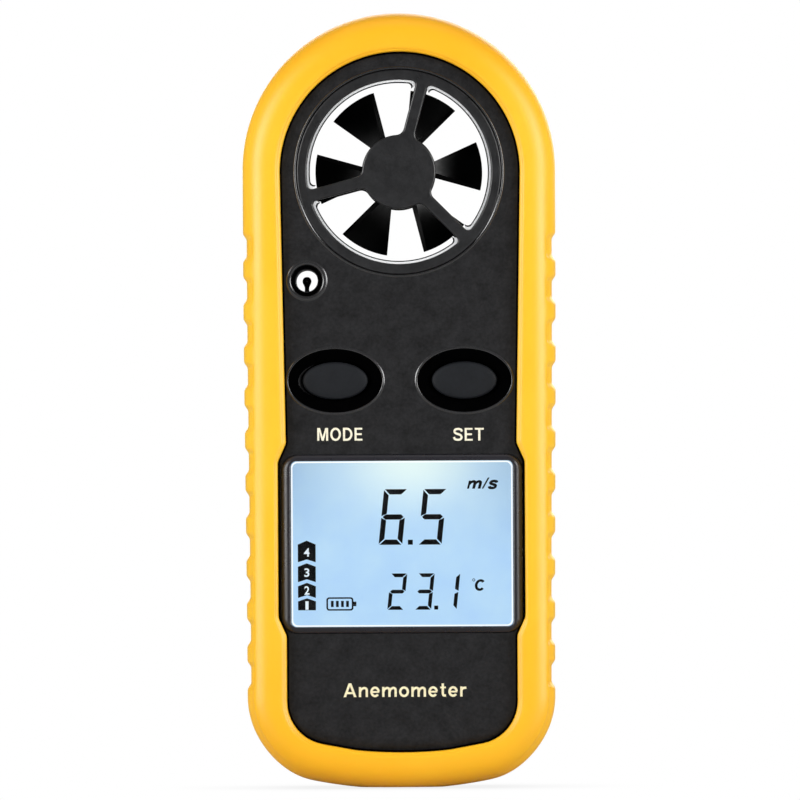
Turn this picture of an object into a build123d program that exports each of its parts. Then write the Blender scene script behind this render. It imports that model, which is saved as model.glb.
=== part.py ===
"""Pocket vane anemometer with a thermometer, in its soft boot.

Millimetres. The meter stands upright: +X to the reader's right, +Y away from the reader, +Z up.
The origin is at the centre of the foot. The case is split at the plane Y = 0, and a layer's
height is its distance in front of that plane, so the reader's side is positive.
"""

import math
import os

from build123d import *

os.makedirs("parts", exist_ok=True)

# Boot
boot_height = 112.9
boot_width = 45.6
boot_depth = 21.0
boot_edge_radius = 4.0
boot_corner_radius = 12.5
boot_foot_trim = 0.28

# Grip notches along the boot's long sides
notch_count = 11
notch_top = 78.7
notch_pitch = 6.23
notch_height = 3.0
notch_depth = 0.6
notch_reach = 0.7

# Case
case_width = 39.8
case_height = 105.6
case_depth = 17.8
case_bottom = 3.9
case_edge_radius = 3.0
case_corner_radius = 9.5
wall = 1.6
base_arc_radius = 65.0
split_gap = 0.1
fit_gap = 0.05

# Window through the front and the back of the boot
window_top_radius = 17.5
window_bottom = 5.35
window_waist = 16.8
window_bulge = 18.0
window_corner_radius = 6.0
window_bulge_above = 12.0
window_bulge_below = 10.7
window_step = 2.65

# Fan
fan_height = 89.7
fan_bore_radius = 13.3
fan_ring_radius = 15.0
guard_thickness = 1.8
guard_hub_radius = 5.4
guard_boss_radius = 2.7
guard_boss_length = 1.5
guard_mouth_chamfer = 0.14
guard_inset = 0.15
spoke_count = 3
spoke_angle = 75.0
spoke_width = 1.9
spoke_root_radius = 1.2
blade_count = 6
blade_angle = 4.4
blade_tip_radius = 12.2
blade_root_radius = 4.2
blade_root_spread = 1.0
blade_tip_spread = 7.1
blade_length = 6.0
blade_thickness = 0.8
impeller_hub_radius = 4.6
impeller_hub_length = 7.0
shaft_radius = 0.75
shaft_length = 12.6
bearing_radius = 1.6
bearing_length = 1.0
running_gap = 0.05
magnet_radius = 2.4
magnet_length = 1.0
hall_turn = -45.0
hall_reach = 3.9
hall_width = 1.1
hall_height = 2.1
hall_thickness = 1.3
hall_sunk = 0.45
hall_lead_radius = 0.3
duct_clearance = 0.1

# Temperature sensor
sensor_x = -13.5
sensor_height = 73.9
sensor_hole_radius = 1.6
sensor_rim_radius = 2.3
sensor_rim_depth = 0.5
sensor_boss_radius = 2.9
bead_radius = 0.575
lead_radius = 0.19
lead_length = 4.5

# Keys
key_height = 59.3
mode_x = -9.3
set_x = 9.4
key_half_width = 4.85
key_half_height = 2.75
key_dish_half_width = 7.0
key_dish_half_height = 4.75
key_dish_depth = 1.3
key_side_gap = 0.25
key_flange = 1.1
key_front = 8.55
key_travel = 0.6
key_rounding = 0.7
key_collar_thickness = 0.8
key_flange_thickness = 0.8
key_foot_radius = 1.3
key_foot_length = 0.6
stem_radius = 1.0
stem_length = 1.1
switch_width = 5.2

# Display
lcd_x = 0.2
lcd_height = 35.5
lcd_view_width = 32.4
lcd_view_height = 24.2
lcd_view_corner = 0.8
bezel_side_border = 1.35
bezel_end_border = 0.9
bezel_corner = 2.4
bezel_front = 9.5
bezel_rounding = 0.5
lens_front = 8.95
lens_thickness = 1.2
lcd_glass_width = 34.4
lcd_glass_height = 27.6
lcd_glass_front = 6.7
lcd_glass_thickness = 2.2
light_guide_width = 31.6
light_guide_height = 23.4
light_guide_thickness = 1.9

# Board
board_front = 2.4
board_thickness = 1.2
board_width = 33.0
board_bottom = 8.0
board_top = 71.5

# Battery bay in the back of the case
cell_radius = 10.0
cell_thickness = 3.2
cell_height = 34.0
cell_back = -7.1
bay_radius = 10.4
bay_floor = -3.4
bay_block_width = 26.8
door_width = 24.0
door_top = 47.0
door_bottom = 21.0
door_thickness = 1.4
door_travel = 3.0
door_gap = 0.15
door_groove_count = 5
door_groove_pitch = 1.8
door_groove_start = 4.0
bay_floor_thickness = 1.0
contact_thickness = 0.4
contact_width = 4.0
contact_slot = 4.4
plus_contact_x = 10.3
minus_contact_x = -5.4

# Screws
case_screw_spots = [(-14.2, 66.0), (14.2, 66.0), (-13.8, 12.5), (13.8, 12.5)]
case_post_radius = 2.4
case_boss_radius = 3.0
case_screw_radius = 0.85
case_head_radius = 1.9
case_head_thickness = 1.4
cross_span = 2.0
cross_width = 0.5
cross_depth = 0.8
case_head_seat = -6.7
case_screw_tip = 5.6
case_pilot_depth = 6.0
case_hole_clearance = 0.25
board_screw_spots = [(0.0, 67.4), (-8.0, 14.0), (8.0, 14.0)]
board_post_radius = 1.8
board_screw_radius = 0.6
board_head_radius = 1.4
board_head_thickness = 0.9
board_screw_length = 4.6
board_pilot_depth = 3.6
screw_clearance = 0.02

half_depth = case_depth / 2
bezel_width = lcd_view_width + 2 * bezel_side_border
bezel_height = lcd_view_height + 2 * bezel_end_border
board_back = board_front - board_thickness
guard_back = half_depth - guard_thickness
bearing_face = guard_back - guard_boss_length


def layer(height):
    """The drawing plane at a height in front of the split, with X to the right and Z up."""
    return Plane.XZ.offset(height)


def at_fan(height):
    """The drawing plane centred on the fan's axis."""
    return Plane(origin=(0, -height, fan_height), x_dir=(1, 0, 0), z_dir=(0, -1, 0))


def arched_outline(half_width, top, bottom, corner_radius):
    """A round-topped outline that stands on a shallow arc, drawn on the current sketch."""
    shoulder = top - half_width
    rise = base_arc_radius - math.sqrt(base_arc_radius**2 - half_width**2)
    with BuildLine() as path:
        CenterArc((0, shoulder), half_width, 0, 180)
        Line((-half_width, shoulder), (-half_width, bottom + rise))
        ThreePointArc((-half_width, bottom + rise), (0, bottom), (half_width, bottom + rise))
        Line((half_width, bottom + rise), (half_width, shoulder))
    outline = make_face(path.edges())
    fillet(outline.vertices().group_by(Axis.Y)[0], corner_radius)


def case_outline(inset):
    """The case's outline, moved in by the inset, or out by a negative one."""
    top = case_bottom + case_height - inset
    arched_outline(case_width / 2 - inset, top, case_bottom + inset, case_corner_radius - inset)


def front_window():
    """The window in the front of the boot, which widens beside the display."""
    rise = base_arc_radius - math.sqrt(base_arc_radius**2 - window_waist**2)
    low_corner = window_bottom + rise
    bulge_top = lcd_height + window_bulge_above
    bulge_bottom = lcd_height - window_bulge_below
    with BuildLine() as path:
        ThreePointArc(
            (-window_top_radius, fan_height),
            (0, fan_height + window_top_radius),
            (window_top_radius, fan_height),
        )
        for side in (-1, 1):
            Polyline(
                (side * window_top_radius, fan_height),
                (side * window_waist, bulge_top + window_step),
                (side * window_bulge, bulge_top),
                (side * window_bulge, bulge_bottom),
                (side * window_waist, bulge_bottom - window_step),
                (side * window_waist, low_corner),
            )
        ThreePointArc((-window_waist, low_corner), (0, window_bottom), (window_waist, low_corner))
    outline = make_face(path.edges())
    fillet(outline.vertices().group_by(Axis.Y)[0], window_corner_radius)


def rear_window():
    """The plain round-topped window in the back of the boot."""
    arched_outline(window_waist, fan_height + window_waist, window_bottom, window_corner_radius)


def save(part, name):
    """Labels a finished piece and writes it."""
    part.label = name
    export_step(part, f"parts/{name}.step")


# ---------------------------------------------------------------- boot

with BuildPart() as protective_boot:
    with BuildSketch(layer(-boot_depth / 2)):
        arched_outline(boot_width / 2, boot_height, -boot_foot_trim, boot_corner_radius)
    extrude(amount=boot_depth)
    rims = protective_boot.faces().filter_by(Axis.Y)
    fillet(rims.edges(), boot_edge_radius)
    # Each notch takes the skin down to a slimmer, deeper section, so it fades out on the rounding.
    for notch in range(notch_count):
        notch_middle = notch_top - notch * notch_pitch
        with BuildSketch(Plane.XY.offset(notch_middle - notch_height / 2)):
            Rectangle(boot_width + 4, boot_depth + 4)
            RectangleRounded(
                boot_width - 2 * notch_depth,
                boot_depth + 2 * notch_reach,
                boot_edge_radius,
                mode=Mode.SUBTRACT,
            )
        extrude(amount=notch_height, mode=Mode.SUBTRACT)
    # Cavity for the case
    with BuildPart(mode=Mode.PRIVATE) as cavity:
        with BuildSketch(layer(-half_depth - fit_gap)):
            case_outline(-fit_gap)
        extrude(amount=case_depth + 2 * fit_gap)
        fillet(cavity.faces().filter_by(Axis.Y).edges(), case_edge_radius)
    add(cavity.part, mode=Mode.SUBTRACT)
    with BuildSketch(layer(0)):
        front_window()
    extrude(amount=boot_depth, mode=Mode.SUBTRACT)
    with BuildSketch(layer(0)):
        rear_window()
    extrude(amount=-boot_depth, mode=Mode.SUBTRACT)
    # Flat foot
    with BuildSketch(Plane.XY.offset(-2)):
        Rectangle(boot_width + 4, boot_depth + 4)
    extrude(amount=2, mode=Mode.SUBTRACT)
save(protective_boot.part, "protective_boot")

# ---------------------------------------------------------------- case

with BuildPart() as front_case:
    with BuildSketch(layer(split_gap / 2)):
        case_outline(0)
    extrude(amount=half_depth - split_gap / 2)
    fillet(front_case.faces().sort_by(Axis.Y)[0].edges(), case_edge_radius)
    with BuildSketch(layer(split_gap / 2)):
        case_outline(wall)
    extrude(amount=half_depth - wall - split_gap / 2, mode=Mode.SUBTRACT)
    # Posts for the case screws and for the board screws, and the tube around the sensor
    with BuildSketch(layer(split_gap / 2)):
        with Locations(*case_screw_spots):
            Circle(case_post_radius)
        with Locations((sensor_x, sensor_height)):
            Circle(sensor_boss_radius)
    extrude(amount=half_depth - wall)
    with BuildSketch(layer(board_front)):
        with Locations(*board_screw_spots):
            Circle(board_post_radius)
    extrude(amount=half_depth - wall - board_front)
    # Collars behind the keys
    with BuildSketch(layer(half_depth - wall - key_collar_thickness)):
        with Locations((mode_x, key_height), (set_x, key_height)):
            Ellipse(key_dish_half_width, key_dish_half_height)
    extrude(amount=key_collar_thickness + wall / 2)
    with BuildSketch(layer(split_gap / 2)):
        with Locations(*case_screw_spots):
            Circle(case_screw_radius + screw_clearance)
    extrude(amount=case_pilot_depth, mode=Mode.SUBTRACT)
    with BuildSketch(layer(board_front)):
        with Locations(*board_screw_spots):
            Circle(board_screw_radius + screw_clearance)
    extrude(amount=board_pilot_depth, mode=Mode.SUBTRACT)
    # Openings in the front
    with BuildSketch(layer(0)):
        with Locations((0, fan_height)):
            Circle(fan_ring_radius + fit_gap)
        with Locations((sensor_x, sensor_height)):
            Circle(sensor_hole_radius)
        with Locations((mode_x, key_height), (set_x, key_height)):
            Ellipse(key_half_width + key_side_gap, key_half_height + key_side_gap)
        with Locations((lcd_x, lcd_height)):
            RectangleRounded(bezel_width + 2 * fit_gap, bezel_height + 2 * fit_gap, bezel_corner)
    extrude(amount=half_depth + 1, mode=Mode.SUBTRACT)
    # Dished recess around each key, and the countersunk rim of the sensor hole
    for key_x in (mode_x, set_x):
        with BuildSketch(layer(half_depth)):
            with Locations((key_x, key_height)):
                Ellipse(key_dish_half_width, key_dish_half_height)
        with BuildSketch(layer(half_depth - key_dish_depth)):
            with Locations((key_x, key_height)):
                Ellipse(key_half_width + key_side_gap, key_half_height + key_side_gap)
        loft(mode=Mode.SUBTRACT)
    with BuildSketch(layer(half_depth)):
        with Locations((sensor_x, sensor_height)):
            Circle(sensor_rim_radius)
    extrude(amount=-sensor_rim_depth, taper=45, mode=Mode.SUBTRACT)
    # Slot that lets the sensor's lead down to the board
    with BuildSketch(layer(0)):
        with Locations((sensor_x, sensor_height - 2.4)):
            Rectangle(0.6, 2.4)
    extrude(amount=board_front + 0.6, mode=Mode.SUBTRACT)
save(front_case.part, "front_case")

with BuildPart() as rear_case:
    with BuildSketch(layer(-half_depth)):
        case_outline(0)
    extrude(amount=half_depth - split_gap / 2)
    fillet(rear_case.faces().sort_by(Axis.Y)[-1].edges(), case_edge_radius)
    with BuildSketch(layer(-half_depth + wall)):
        case_outline(wall)
    extrude(amount=half_depth - wall, mode=Mode.SUBTRACT)
    bay_bottom = door_bottom - door_travel - 1.4
    bay_top = door_top + 1.2
    with BuildSketch(layer(bay_floor)):
        with Locations((0, (bay_bottom + bay_top) / 2)):
            Rectangle(bay_block_width, bay_top - bay_bottom)
    extrude(amount=-(half_depth - 0.1 + bay_floor))
    with BuildSketch(layer(bay_floor)):
        with Locations((0, (bay_bottom + bay_top) / 2)):
            Rectangle(bay_block_width, bay_top - bay_bottom)
    extrude(amount=bay_floor_thickness)
    with BuildSketch(layer(-half_depth + 0.1)):
        with Locations(*case_screw_spots):
            Circle(case_boss_radius)
        with Locations((sensor_x, sensor_height)):
            Circle(sensor_boss_radius)
    extrude(amount=half_depth - 0.1 - split_gap / 2)
    # Battery bay: round pocket for the cell, side slot for its spring, well for the door
    with BuildSketch(layer(bay_floor)):
        with Locations((0, cell_height)):
            Circle(bay_radius)
        with Locations((10.5, cell_height)):
            Rectangle(2.0, 6.0)
    extrude(amount=-half_depth, mode=Mode.SUBTRACT)
    with BuildSketch(layer(bay_floor)):
        with Locations((plus_contact_x, cell_height), (minus_contact_x, cell_height)):
            Rectangle(contact_thickness + 0.6, contact_slot)
    extrude(amount=2 * bay_floor_thickness, mode=Mode.SUBTRACT)
    well_bottom = door_bottom - door_travel - door_gap
    well_top = door_top + door_gap
    with BuildSketch(layer(-half_depth - 0.1)):
        with Locations((0, (well_bottom + well_top) / 2)):
            RectangleRounded(door_width + 2 * door_gap, well_top - well_bottom, 1.2)
    extrude(amount=door_thickness + 0.2, mode=Mode.SUBTRACT)
    # Openings in the back
    with BuildSketch(layer(-half_depth - 0.1)):
        with Locations((0, fan_height)):
            Circle(fan_ring_radius + fit_gap)
        with Locations((sensor_x, sensor_height)):
            Circle(sensor_hole_radius)
        with Locations(*case_screw_spots):
            Circle(case_screw_radius + case_hole_clearance)
    extrude(amount=half_depth + 0.1, mode=Mode.SUBTRACT)
    with BuildSketch(layer(-half_depth - 0.1)):
        with Locations(*case_screw_spots):
            Circle(case_head_radius + case_hole_clearance)
    extrude(amount=half_depth + 0.1 + case_head_seat, mode=Mode.SUBTRACT)
save(rear_case.part, "rear_case")

# ---------------------------------------------------------------- fan

with BuildPart() as fan_guard_front:
    with BuildSketch(at_fan(guard_back)):
        Circle(fan_ring_radius)
        Circle(fan_bore_radius, mode=Mode.SUBTRACT)
    extrude(amount=guard_thickness)
    with BuildSketch(at_fan(guard_back)):
        Circle(guard_hub_radius)
        with PolarLocations(fan_bore_radius / 2 + 0.5, spoke_count, start_angle=spoke_angle):
            Rectangle(fan_bore_radius, spoke_width)
    extrude(amount=guard_thickness - guard_inset)
    with BuildSketch(at_fan(bearing_face)):
        Circle(guard_boss_radius)
    extrude(amount=guard_boss_length)
    spoke_roots = fan_guard_front.edges().filter_by(Axis.Y).filter_by(
        lambda edge: abs(math.hypot(edge.center().X, edge.center().Z - fan_height) - guard_hub_radius) < 0.1
    )
    fillet(spoke_roots, spoke_root_radius)
    # Blind pocket for the bearing
    with BuildSketch(at_fan(bearing_face)):
        Circle(bearing_radius + fit_gap / 2)
    extrude(amount=bearing_length + 0.3, mode=Mode.SUBTRACT)
    # Chamfered mouth
    mouth = fan_guard_front.edges().filter_by(GeomType.CIRCLE).filter_by(
        lambda edge: abs(edge.radius - fan_bore_radius) < 0.01
    )
    chamfer(mouth.group_by(Axis.Y)[0], guard_mouth_chamfer)
save(fan_guard_front.part, "fan_guard_front")

with BuildPart() as fan_guard_rear:
    mirror(fan_guard_front.part, about=Plane.XZ)
    # Pocket for the speed sensor beside the bearing
    with BuildSketch(at_fan(-guard_back)):
        with Locations(Location((0, 0), hall_turn)):
            with Locations((hall_reach, 0)):
                Rectangle(hall_width + 2 * fit_gap, hall_height + 2 * fit_gap)
    extrude(amount=-2 * hall_sunk, mode=Mode.SUBTRACT)
save(fan_guard_rear.part, "fan_guard_rear")

with BuildPart() as fan_duct:
    with BuildSketch(at_fan(-guard_back + fit_gap)):
        Circle(fan_ring_radius - duct_clearance)
        Circle(fan_bore_radius, mode=Mode.SUBTRACT)
    extrude(amount=2 * (guard_back - fit_gap))
    # Slot for the speed sensor's leads
    with BuildSketch(at_fan(-guard_back)):
        with Locations(Location((0, 0), hall_turn)):
            with Locations((fan_ring_radius - 0.8, 0)):
                Rectangle(2.6, 2.0)
    extrude(amount=3 * hall_lead_radius, mode=Mode.SUBTRACT)
save(fan_duct.part, "fan_duct")

with BuildPart() as bearing_front:
    with BuildSketch(at_fan(bearing_face)):
        Circle(bearing_radius)
        Circle(shaft_radius + running_gap, mode=Mode.SUBTRACT)
    extrude(amount=bearing_length)
save(bearing_front.part, "bearing_front")

with BuildPart() as bearing_rear:
    mirror(bearing_front.part, about=Plane.XZ)
save(bearing_rear.part, "bearing_rear")

with BuildPart() as impeller:
    with BuildSketch(at_fan(-impeller_hub_length / 2)):
        Circle(impeller_hub_radius)
    extrude(amount=impeller_hub_length)
    fillet(impeller.edges().filter_by(GeomType.CIRCLE), 0.5)
    # Each blade is a straight-edged plate that twists from the hub to the tip.
    for blade in range(blade_count):
        turn = math.radians(blade_angle + blade * 360 / blade_count)
        outward = Vector(math.cos(turn), 0, math.sin(turn))
        for radius in (blade_root_radius, blade_tip_radius + 1):
            share = (radius - blade_root_radius) / (blade_tip_radius - blade_root_radius)
            spread = blade_root_spread + share * (blade_tip_spread - blade_root_spread)
            chord = math.hypot(spread, blade_length)
            pitch = math.degrees(math.atan2(spread, blade_length))
            station = Plane(
                origin=Vector(0, 0, fan_height) + outward * radius, x_dir=(0, -1, 0), z_dir=outward
            )
            with BuildSketch(station):
                Rectangle(chord, blade_thickness, rotation=pitch)
        loft(ruled=True)
    with BuildSketch(at_fan(-impeller_hub_length / 2)):
        Circle(blade_tip_radius)
    extrude(amount=impeller_hub_length, mode=Mode.INTERSECT)
    with BuildSketch(at_fan(-impeller_hub_length / 2)):
        Circle(shaft_radius)
    extrude(amount=impeller_hub_length, mode=Mode.SUBTRACT)
save(impeller.part, "impeller")

with BuildPart() as impeller_shaft:
    with BuildSketch(at_fan(-shaft_length / 2)):
        Circle(shaft_radius)
    extrude(amount=shaft_length)
    chamfer(impeller_shaft.edges().filter_by(GeomType.CIRCLE), 0.25)
save(impeller_shaft.part, "impeller_shaft")

with BuildPart() as impeller_magnet:
    with BuildSketch(at_fan(-impeller_hub_length / 2)):
        Circle(magnet_radius)
        Circle(shaft_radius, mode=Mode.SUBTRACT)
    extrude(amount=-magnet_length)
save(impeller_magnet.part, "impeller_magnet")

with BuildPart() as hall_sensor:
    with BuildSketch(at_fan(-guard_back + hall_sunk)):
        with Locations(Location((0, 0), hall_turn)):
            with Locations((hall_reach, 0)):
                Rectangle(hall_width, hall_height)
    extrude(amount=-hall_thickness)
save(hall_sensor.part, "hall_sensor")

# The speed sensor's ribbon runs out along a spoke, through the duct and down to the board.
lead_turn = math.radians(hall_turn)
lead_level = guard_back - 0.4
lead_start = Vector(4.6 * math.cos(lead_turn), lead_level, fan_height + 4.6 * math.sin(lead_turn))
lead_corner = Vector(16.2 * math.cos(lead_turn), lead_level, fan_height + 16.2 * math.sin(lead_turn))
lead_low = Vector(9.0, lead_level, 72.4)
lead_end = Vector(9.0, -board_back + hall_lead_radius + 0.03, 70.0)
with BuildPart() as hall_leads:
    with BuildLine():
        lead_path = FilletPolyline(lead_start, lead_corner, lead_low, lead_end, radius=1.2)
    with BuildSketch(Plane(origin=lead_path @ 0, z_dir=lead_path % 0)):
        Circle(hall_lead_radius)
    sweep()
save(hall_leads.part, "hall_leads")

# ---------------------------------------------------------------- temperature sensor

bead_level = board_front + lead_radius + 0.1
with BuildPart() as thermistor:
    with Locations((sensor_x, -bead_level, sensor_height)):
        Sphere(bead_radius)
    with BuildSketch(Plane.XY.offset(sensor_height - lead_length)):
        with Locations((sensor_x, -bead_level)):
            Circle(lead_radius)
    extrude(amount=lead_length)
save(thermistor.part, "thermistor")

# ---------------------------------------------------------------- keys

flange_front = half_depth - wall - key_collar_thickness - 2 * fit_gap
flange_back = flange_front - key_flange_thickness
stem_front = flange_back - key_foot_length
stem_back = stem_front - stem_length
switch_front = stem_front - key_travel - 2 * fit_gap


def key_solid(key_x):
    """A key: crowned oval cap, hidden flange and the foot that presses the switch."""
    with BuildPart() as key:
        with BuildSketch(layer(flange_front)):
            with Locations((key_x, key_height)):
                Ellipse(key_half_width, key_half_height)
        extrude(amount=key_front - flange_front)
        fillet(key.faces().sort_by(Axis.Y)[0].edges(), key_rounding)
        with BuildSketch(layer(flange_back)):
            with Locations((key_x, key_height)):
                Ellipse(key_half_width + key_flange, key_half_height + key_flange)
        extrude(amount=flange_front - flange_back)
        with BuildSketch(layer(stem_front)):
            with Locations((key_x, key_height)):
                Circle(key_foot_radius)
        extrude(amount=flange_back - stem_front)
    return key.part


def stem_solid(key_x):
    """The plunger of the switch under a key."""
    with BuildPart() as stem:
        with BuildSketch(layer(stem_back)):
            with Locations((key_x, key_height)):
                Circle(stem_radius)
        extrude(amount=stem_front - stem_back)
    return stem.part


with BuildPart() as mode_button:
    add(key_solid(mode_x))
save(mode_button.part, "mode_button")

with BuildPart() as set_button:
    add(key_solid(set_x))
save(set_button.part, "set_button")

with BuildPart() as mode_switch_stem:
    add(stem_solid(mode_x))
save(mode_switch_stem.part, "mode_switch_stem")

with BuildPart() as set_switch_stem:
    add(stem_solid(set_x))
save(set_switch_stem.part, "set_switch_stem")

with BuildPart() as switch_housings:
    with BuildSketch(layer(board_front)):
        with Locations((mode_x, key_height), (set_x, key_height)):
            RectangleRounded(switch_width, switch_width, 0.5)
    extrude(amount=switch_front - board_front)
    with BuildSketch(layer(board_front + 0.2)):
        with Locations((mode_x, key_height), (set_x, key_height)):
            Circle(stem_radius + fit_gap)
    extrude(amount=switch_front - board_front, mode=Mode.SUBTRACT)
save(switch_housings.part, "switch_housings")

# ---------------------------------------------------------------- display

with BuildPart() as lcd_bezel:
    with BuildSketch(layer(half_depth - wall)):
        with Locations((lcd_x, lcd_height)):
            RectangleRounded(bezel_width, bezel_height, bezel_corner)
    extrude(amount=bezel_front - half_depth + wall)
    fillet(lcd_bezel.faces().sort_by(Axis.Y)[0].edges(), bezel_rounding)
    with BuildSketch(layer(half_depth - wall)):
        with Locations((lcd_x, lcd_height)):
            RectangleRounded(lcd_view_width, lcd_view_height, lcd_view_corner)
    extrude(amount=bezel_front, mode=Mode.SUBTRACT)
save(lcd_bezel.part, "lcd_bezel")

with BuildPart() as lcd_window:
    with BuildSketch(layer(lens_front - lens_thickness)):
        with Locations((lcd_x, lcd_height)):
            RectangleRounded(
                lcd_view_width - 2 * fit_gap, lcd_view_height - 2 * fit_gap, lcd_view_corner - fit_gap
            )
    extrude(amount=lens_thickness)
    chamfer(lcd_window.faces().sort_by(Axis.Y)[0].edges(), 0.2)
save(lcd_window.part, "lcd_window")

with BuildPart() as lcd_glass:
    with BuildSketch(layer(lcd_glass_front - lcd_glass_thickness)):
        with Locations((lcd_x, lcd_height)):
            Rectangle(lcd_glass_width, lcd_glass_height)
    extrude(amount=lcd_glass_thickness)
save(lcd_glass.part, "lcd_glass")

guide_front = lcd_glass_front - lcd_glass_thickness - fit_gap
with BuildPart() as backlight:
    with BuildSketch(layer(guide_front - light_guide_thickness)):
        with Locations((lcd_x - 0.9, lcd_height)):
            Rectangle(light_guide_width, light_guide_height)
    extrude(amount=light_guide_thickness)
save(backlight.part, "backlight")

with BuildPart() as backlight_led:
    with BuildSketch(layer(board_front)):
        with Locations((lcd_x + light_guide_width / 2 + 0.1, lcd_height)):
            Rectangle(1.4, 4.0)
    extrude(amount=1.6)
save(backlight_led.part, "backlight_led")

with BuildPart() as zebra_strips:
    strip_offset = (lcd_glass_height - 1.6) / 2
    with BuildSketch(layer(board_front)):
        with Locations((lcd_x, lcd_height - strip_offset), (lcd_x, lcd_height + strip_offset)):
            Rectangle(29.0, 1.5)
    extrude(amount=lcd_glass_front - lcd_glass_thickness - board_front)
save(zebra_strips.part, "zebra_strips")

with BuildPart() as lcd_holder:
    with BuildSketch(layer(board_front)):
        with Locations((lcd_x, lcd_height)):
            Rectangle(lcd_glass_width + 1.4, lcd_glass_height + 2.4)
            Rectangle(lcd_glass_width + 0.1, lcd_glass_height + 0.1, mode=Mode.SUBTRACT)
    extrude(amount=lcd_glass_front - board_front)
save(lcd_holder.part, "lcd_holder")

# ---------------------------------------------------------------- board

with BuildPart() as main_board:
    with BuildSketch(layer(board_back)):
        with Locations((0, (board_bottom + board_top) / 2)):
            RectangleRounded(board_width, board_top - board_bottom, 4.5)
        with Locations(*case_screw_spots):
            Circle(case_boss_radius + 0.3, mode=Mode.SUBTRACT)
        with Locations(*board_screw_spots):
            Circle(board_screw_radius + 0.15, mode=Mode.SUBTRACT)
        with Locations((sensor_x, sensor_height)):
            Circle(sensor_boss_radius + 0.3, mode=Mode.SUBTRACT)
    extrude(amount=board_thickness)
save(main_board.part, "main_board")

with BuildPart() as controller_chip:
    with BuildSketch(layer(board_back)):
        with Locations((0, 55.5)):
            RectangleRounded(10.0, 10.0, 0.4)
    extrude(amount=-1.4)
save(controller_chip.part, "controller_chip")

with BuildPart() as crystal:
    with BuildSketch(Plane.XY.offset(53.0)):
        with Locations((9.5, -board_back + 1.0)):
            Circle(0.98)
    extrude(amount=6.0)
save(crystal.part, "crystal")

with BuildPart() as capacitors:
    with BuildSketch(layer(board_back)):
        with Locations((-9.5, 51.0), (-9.5, 54.0), (-9.5, 57.0), (-9.5, 60.0), (4.5, 63.8), (7.5, 63.8)):
            Rectangle(2.0, 1.25)
    extrude(amount=-0.9)
save(capacitors.part, "capacitors")

# ---------------------------------------------------------------- battery

with BuildPart() as coin_cell:
    with BuildSketch(layer(cell_back)):
        with Locations((0, cell_height)):
            Circle(cell_radius)
    extrude(amount=cell_thickness - 0.3)
    fillet(coin_cell.edges().sort_by(Axis.Y)[-1], 0.5)
    with BuildSketch(layer(cell_back + cell_thickness - 0.3)):
        with Locations((0, cell_height)):
            Circle(cell_radius - 1.2)
    extrude(amount=0.3)
save(coin_cell.part, "coin_cell")

with BuildPart() as battery_contact_plus:
    # Blade beside the cell, with a leg that reaches the board
    with BuildSketch(layer(board_back)):
        with Locations((plus_contact_x, cell_height)):
            Rectangle(contact_thickness, contact_width)
    extrude(amount=cell_back + 0.3 - board_back)
save(battery_contact_plus.part, "battery_contact_plus")

with BuildPart() as battery_contact_minus:
    # Leg from the board, and the tongue that bears on the cell's inner face
    with BuildSketch(layer(board_back)):
        with Locations((minus_contact_x, cell_height)):
            Rectangle(contact_thickness, contact_width)
    extrude(amount=cell_back + cell_thickness - board_back + 0.02)
    with BuildSketch(layer(cell_back + cell_thickness + 0.02)):
        with Locations((-1.6, cell_height)):
            Rectangle(8.0, contact_width)
    extrude(amount=contact_thickness)
save(battery_contact_minus.part, "battery_contact_minus")

with BuildPart() as battery_door:
    with BuildSketch(layer(-half_depth)):
        with Locations((0, (door_bottom + door_top) / 2)):
            RectangleRounded(door_width, door_top - door_bottom, 1.0)
    extrude(amount=door_thickness - 0.1)
    chamfer(battery_door.faces().sort_by(Axis.Y)[-1].edges(), 0.25)
    # Thumb grooves
    for groove in range(door_groove_count):
        with BuildSketch(layer(-half_depth)):
            with Locations((0, door_bottom + door_groove_start + groove * door_groove_pitch)):
                SlotOverall(12.0, 0.9)
        extrude(amount=0.5, mode=Mode.SUBTRACT)
save(battery_door.part, "battery_door")

# ---------------------------------------------------------------- screws

with BuildPart() as case_screws:
    with BuildSketch(layer(case_head_seat)):
        with Locations(*case_screw_spots):
            Circle(case_head_radius)
    extrude(amount=-case_head_thickness)
    fillet(case_screws.faces().filter_by(Axis.Y).group_by(Axis.Y)[-1].edges(), 0.5)
    with BuildSketch(layer(case_head_seat)):
        with Locations(*case_screw_spots):
            Circle(case_screw_radius)
    extrude(amount=case_screw_tip - case_head_seat)
    # Cross recess
    with BuildSketch(layer(case_head_seat - case_head_thickness)):
        with Locations(*case_screw_spots):
            Rectangle(cross_span, cross_width)
            Rectangle(cross_width, cross_span)
    extrude(amount=cross_depth, mode=Mode.SUBTRACT)
save(case_screws.part, "case_screws")

with BuildPart() as board_screws:
    with BuildSketch(layer(board_back)):
        with Locations(*board_screw_spots):
            Circle(board_head_radius)
    extrude(amount=-board_head_thickness)
    with BuildSketch(layer(board_back)):
        with Locations(*board_screw_spots):
            Circle(board_screw_radius)
    extrude(amount=board_screw_length)
save(board_screws.part, "board_screws")
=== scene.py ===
"""Looks for a pocket vane anemometer in a soft yellow boot.

Metres in the CAD frame: +X to the reader's right, -Y towards the reader, +Z up.
Most shapes are worked out in millimetres and turned into metres when a mesh is made.
"""

import math

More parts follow.
